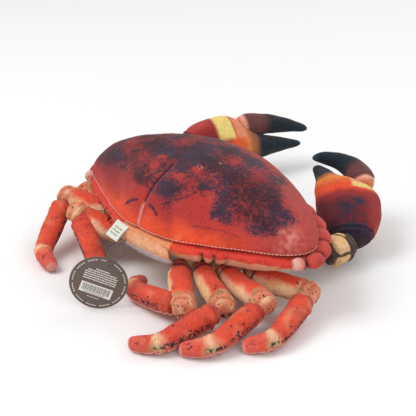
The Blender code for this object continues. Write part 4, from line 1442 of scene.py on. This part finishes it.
def build_palm(claw, skin):
    """The palm with its fixed finger. Shares: a along it, b towards the movable finger, c up through it."""
    seed = claw.seed
    rings, fixed_route = hand_rings(claw.wrist, claw.along, claw.wide, claw.fixed)
    piece, co = claw.part("palm", rings)
    co = claw.bend(piece, co, step(0.35, 0.95, on_route(co, fixed_route)[0]))
    a = claw.share_across(co, claw.along, PALM_LENGTH)
    b = claw.share_across(co, claw.wide, PALM_HALF_WIDTH)
    c = claw.share_across(co, claw.thick, PALM_HALF_THICK)
    folds = 0.0013 * np.sin(a * 95 + 1.2 * b) * (1.0 - step(0.10, 0.24, a))
    folds = folds * (0.6 + 0.5 * lumps(co, 0.010, seed + 6))
    edge_line = bump_at(a, 0.80 - 0.06 * b, 0.014) * step(0.5, 0.2, a - 1.0)
    raise_skin(piece, folds - LIMB_SEAM * bump_at(c, 0.0, 0.075) * step(0.1, 0.2, a) - 0.0006 * edge_line
               + 0.0011 * lumps(co, 0.024, seed + 7) + 0.0005 * lumps(co, 0.009, seed + 8))
    tuck(piece, [claw.name + "_wrist", claw.name + "_arm"])
    on_finger, _ = on_route(co, fixed_route)
    beyond = step(0.86, 1.0, a)
    ragged = 0.03 * lumps(co, 0.010, seed + 11)
    shade = (1.0 - step(0.50, 0.76, a + ragged)) * (1.0 - 0.85 * step(0.30, 0.72, b))
    begin = 0.30 if claw.right else 0.16
    teal = step(begin, begin + 0.18, on_finger + 0.05 * lumps(co, 0.010, seed + 13)) * beyond
    tint = layered(
        mix(SHELL_RED, DEEP_RED, 0.40 + 0.55 * lumps(co, 0.020, seed + 9)),
        (ROSE, 0.35 * step(0.05, 0.7, lumps(co, 0.018, seed + 10) + 0.8 * (b - 0.5))),
        (MAROON, (0.80 if claw.right else 0.35) * shade),
        (RIM_ORANGE, 0.90 * step(0.66, 0.78, a + ragged)),
        (ORANGE, step(0.80, 0.90, a + ragged)),
        (AMBER, 0.85 * step(0.88, 1.04, a + ragged)),
        *palm_patches(claw, a, b, ragged),
        (BROWN_RED, 0.7 * step(begin - 0.12, begin + 0.02, on_finger) * beyond),
        (TEAL_BLACK, teal),
        (BLUE_TIP, 0.5 * step(0.88, 1.0, on_finger) * beyond))
    paint(piece, tint, palm_ink(claw, co, a, b, c) * (1.0 - beyond), 0.14 * (1.0 - beyond))
    dress(piece, claw.name + "_hand", skin, 0.8)


def build_finger(claw, skin):
    seed = claw.seed
    rings, route = finger_rings(claw.wrist, claw.along, claw.wide, claw.finger)
    piece, co = claw.part("dactyl", rings)
    share, _ = on_route(co, route)
    co = claw.bend(piece, co, -step(0.45, 0.95, share))
    c = claw.share_across(co, claw.thick, FINGER_THICK)
    raise_skin(piece, 0.0008 * np.sin(share * 60) * (1.0 - step(0.06, 0.16, share))
               - 0.0009 * bump_at(c, 0.0, 0.10) + 0.0006 * lumps(co, 0.011, seed + 16))
    tuck(piece, [claw.name + "_hand"], share < 0.4)
    tint = layered(
        mix(SALMON, PALE_ROSE, 0.5 * step(0.01, 0.05, share)),
        (DUSTY_BROWN, step(0.035, 0.10, share + 0.02 * lumps(co, 0.008, seed + 17))),
        (TEAL_BLACK, step(0.26, 0.44, share + 0.04 * lumps(co, 0.010, seed + 18))),
        (BLUE_TIP, 0.5 * step(0.88, 1.0, share)))
    paint(piece, tint, 0.0, 0.0)
    dress(piece, claw.name + "_finger", skin, 0.8)


def build_claws(skin):
    for number, pose in enumerate(CLAW_POSES):
        claw = Claw(number, pose)
        build_arm(claw, skin)
        build_wrist(claw, skin)
        build_palm(claw, skin)
        build_finger(claw, skin)


# Stitches
def rim_places(tree):
    """Evenly spaced points on the shell just above the rim seam, each with the skin's normal."""
    path = []
    for k in range(RIM_RAYS):
        a = 2 * math.pi * k / RIM_RAYS
        out = Vector((math.cos(a), math.sin(a), 0))
        near, normal, _, _ = tree.ray_cast(out * 0.2 + Vector((0, 0, SEAM_HEIGHT + STITCHES_UP)), -out)
        if near is not None:
            path.append((near, normal))
    walked = 0.0
    places = []
    for (p, _), (q, normal) in zip(path, path[1:]):
        walked += (q - p).length
        if walked >= STITCH_PITCH:
            walked -= STITCH_PITCH
            places.append((q, normal))
    return places


def build_stitches(thread):
    """Short pale stitches along the rear of the rim seam, laid on the shell."""
    tree = TREES["carapace"]
    shape = bmesh.new()
    places = rim_places(tree)
    for (p, normal), (q, _) in zip(places, places[1:]):
        if q.y < -0.005:
            continue
        side = normal.cross((q - p).normalized()).normalized()
        start, end = p.lerp(q, 0.14), p.lerp(q, 0.86)
        rows = []
        for share in (0.0, 0.12, 0.5, 0.88, 1.0):
            swell = math.sin(math.pi * min(max(share, 0.06), 0.94))
            near, up, _, _ = tree.find_nearest(start.lerp(end, share))
            centre = near + up * (0.00012 + 0.00022 * swell)
            radius = STITCH_RADIUS * (0.35 + 0.65 * swell)
            rows.append([shape.verts.new(centre + side * radius * math.cos(t) + up * radius * math.sin(t))
                         for t in (2 * math.pi * k / 6 for k in range(6))])
        bridge(shape, rows, caps=True)
    bmesh.ops.recalc_face_normals(shape, faces=shape.faces)
    dress(mesh_object("rim_stitches", shape), None, thread)


# Stage
def build_stage():
    data = bpy.data.meshes.new("floor")
    data.from_pydata([(-3, -3, 0), (3, -3, 0), (3, 3, 0), (-3, 3, 0)], [], [(0, 1, 2, 3)])
    data.materials.append(Nodes("floor").finish(base_color=(0.86, 0.86, 0.86, 1.0), roughness=0.9))
    floor = add_object("floor", data)
    floor.location.z = -0.0002
    world = bpy.data.worlds.new("studio")
    world.use_nodes = True
    bpy.context.scene.world = world
    backdrop = world.node_tree.nodes["Background"]
    backdrop.inputs["Color"].default_value = (1.0, 1.0, 1.0, 1.0)
    backdrop.inputs["Strength"].default_value = 0.55
    for name, place, size, power in (
        ("key", (0.55, 0.75, 1.35), 0.9, 15.0),
        ("fill", (-1.2, 0.5, 0.8), 1.0, 6.0),
        ("back", (-0.2, -1.3, 1.1), 0.9, 7.0),
    ):
        lamp = bpy.data.lights.new(name, "AREA")
        lamp.size = size
        lamp.energy = power
        made = add_object(name, lamp)
        made.location = place
        made.rotation_euler = (Vector((0, 0, 0.04)) - Vector(place)).to_track_quat("-Z", "Y").to_euler()
    bpy.context.scene.view_settings.view_transform = "Standard"


def main():
    place_camera()
    card = plain("tag_card", srgb(96, 80, 72), 0.55, 900.0, 0.00004, 0.10)
    pale_ink = plain("tag_pale_ink", srgb(222, 218, 210), 0.6, 700.0, 0.00002, 0.06)
    dark_ink = plain("tag_dark_ink", srgb(70, 60, 56), 0.6, 700.0, 0.00002, 0.06)
    cord = plain("loop_cord", srgb(74, 76, 90), 0.6, 2500.0, 0.00008, 0.5)
    ribbon = plain("ribbon_weave", srgb(212, 216, 206), 0.7, 1600.0, 0.00008, 0.14)
    motif = plain("ribbon_motif", srgb(124, 118, 78), 0.7, 1500.0, 0.00005, 0.2)
    thread = plain("pale_thread", srgb(236, 176, 158), 0.6, 3000.0, 0.00005, 0.3)
    bead = plain("bead_black", srgb(10, 10, 12), 0.08, 40.0, 0.0, 0.0)
    build_tag_card(card)
    build_loop(cord, build_tag_print(pale_ink, dark_ink) + ["hang_tag_card"])
    build_label(ribbon, motif)
    outline = shell_outline()
    fur = plush("printed_plush")
    build_shell(outline, fur)
    build_belly(outline, fur)
    build_frills(outline, fur)
    build_flap(fur)
    build_face(fur, bead)
    build_legs(fur)
    build_claws(fur)
    build_stitches(thread)
    build_stage()


main()
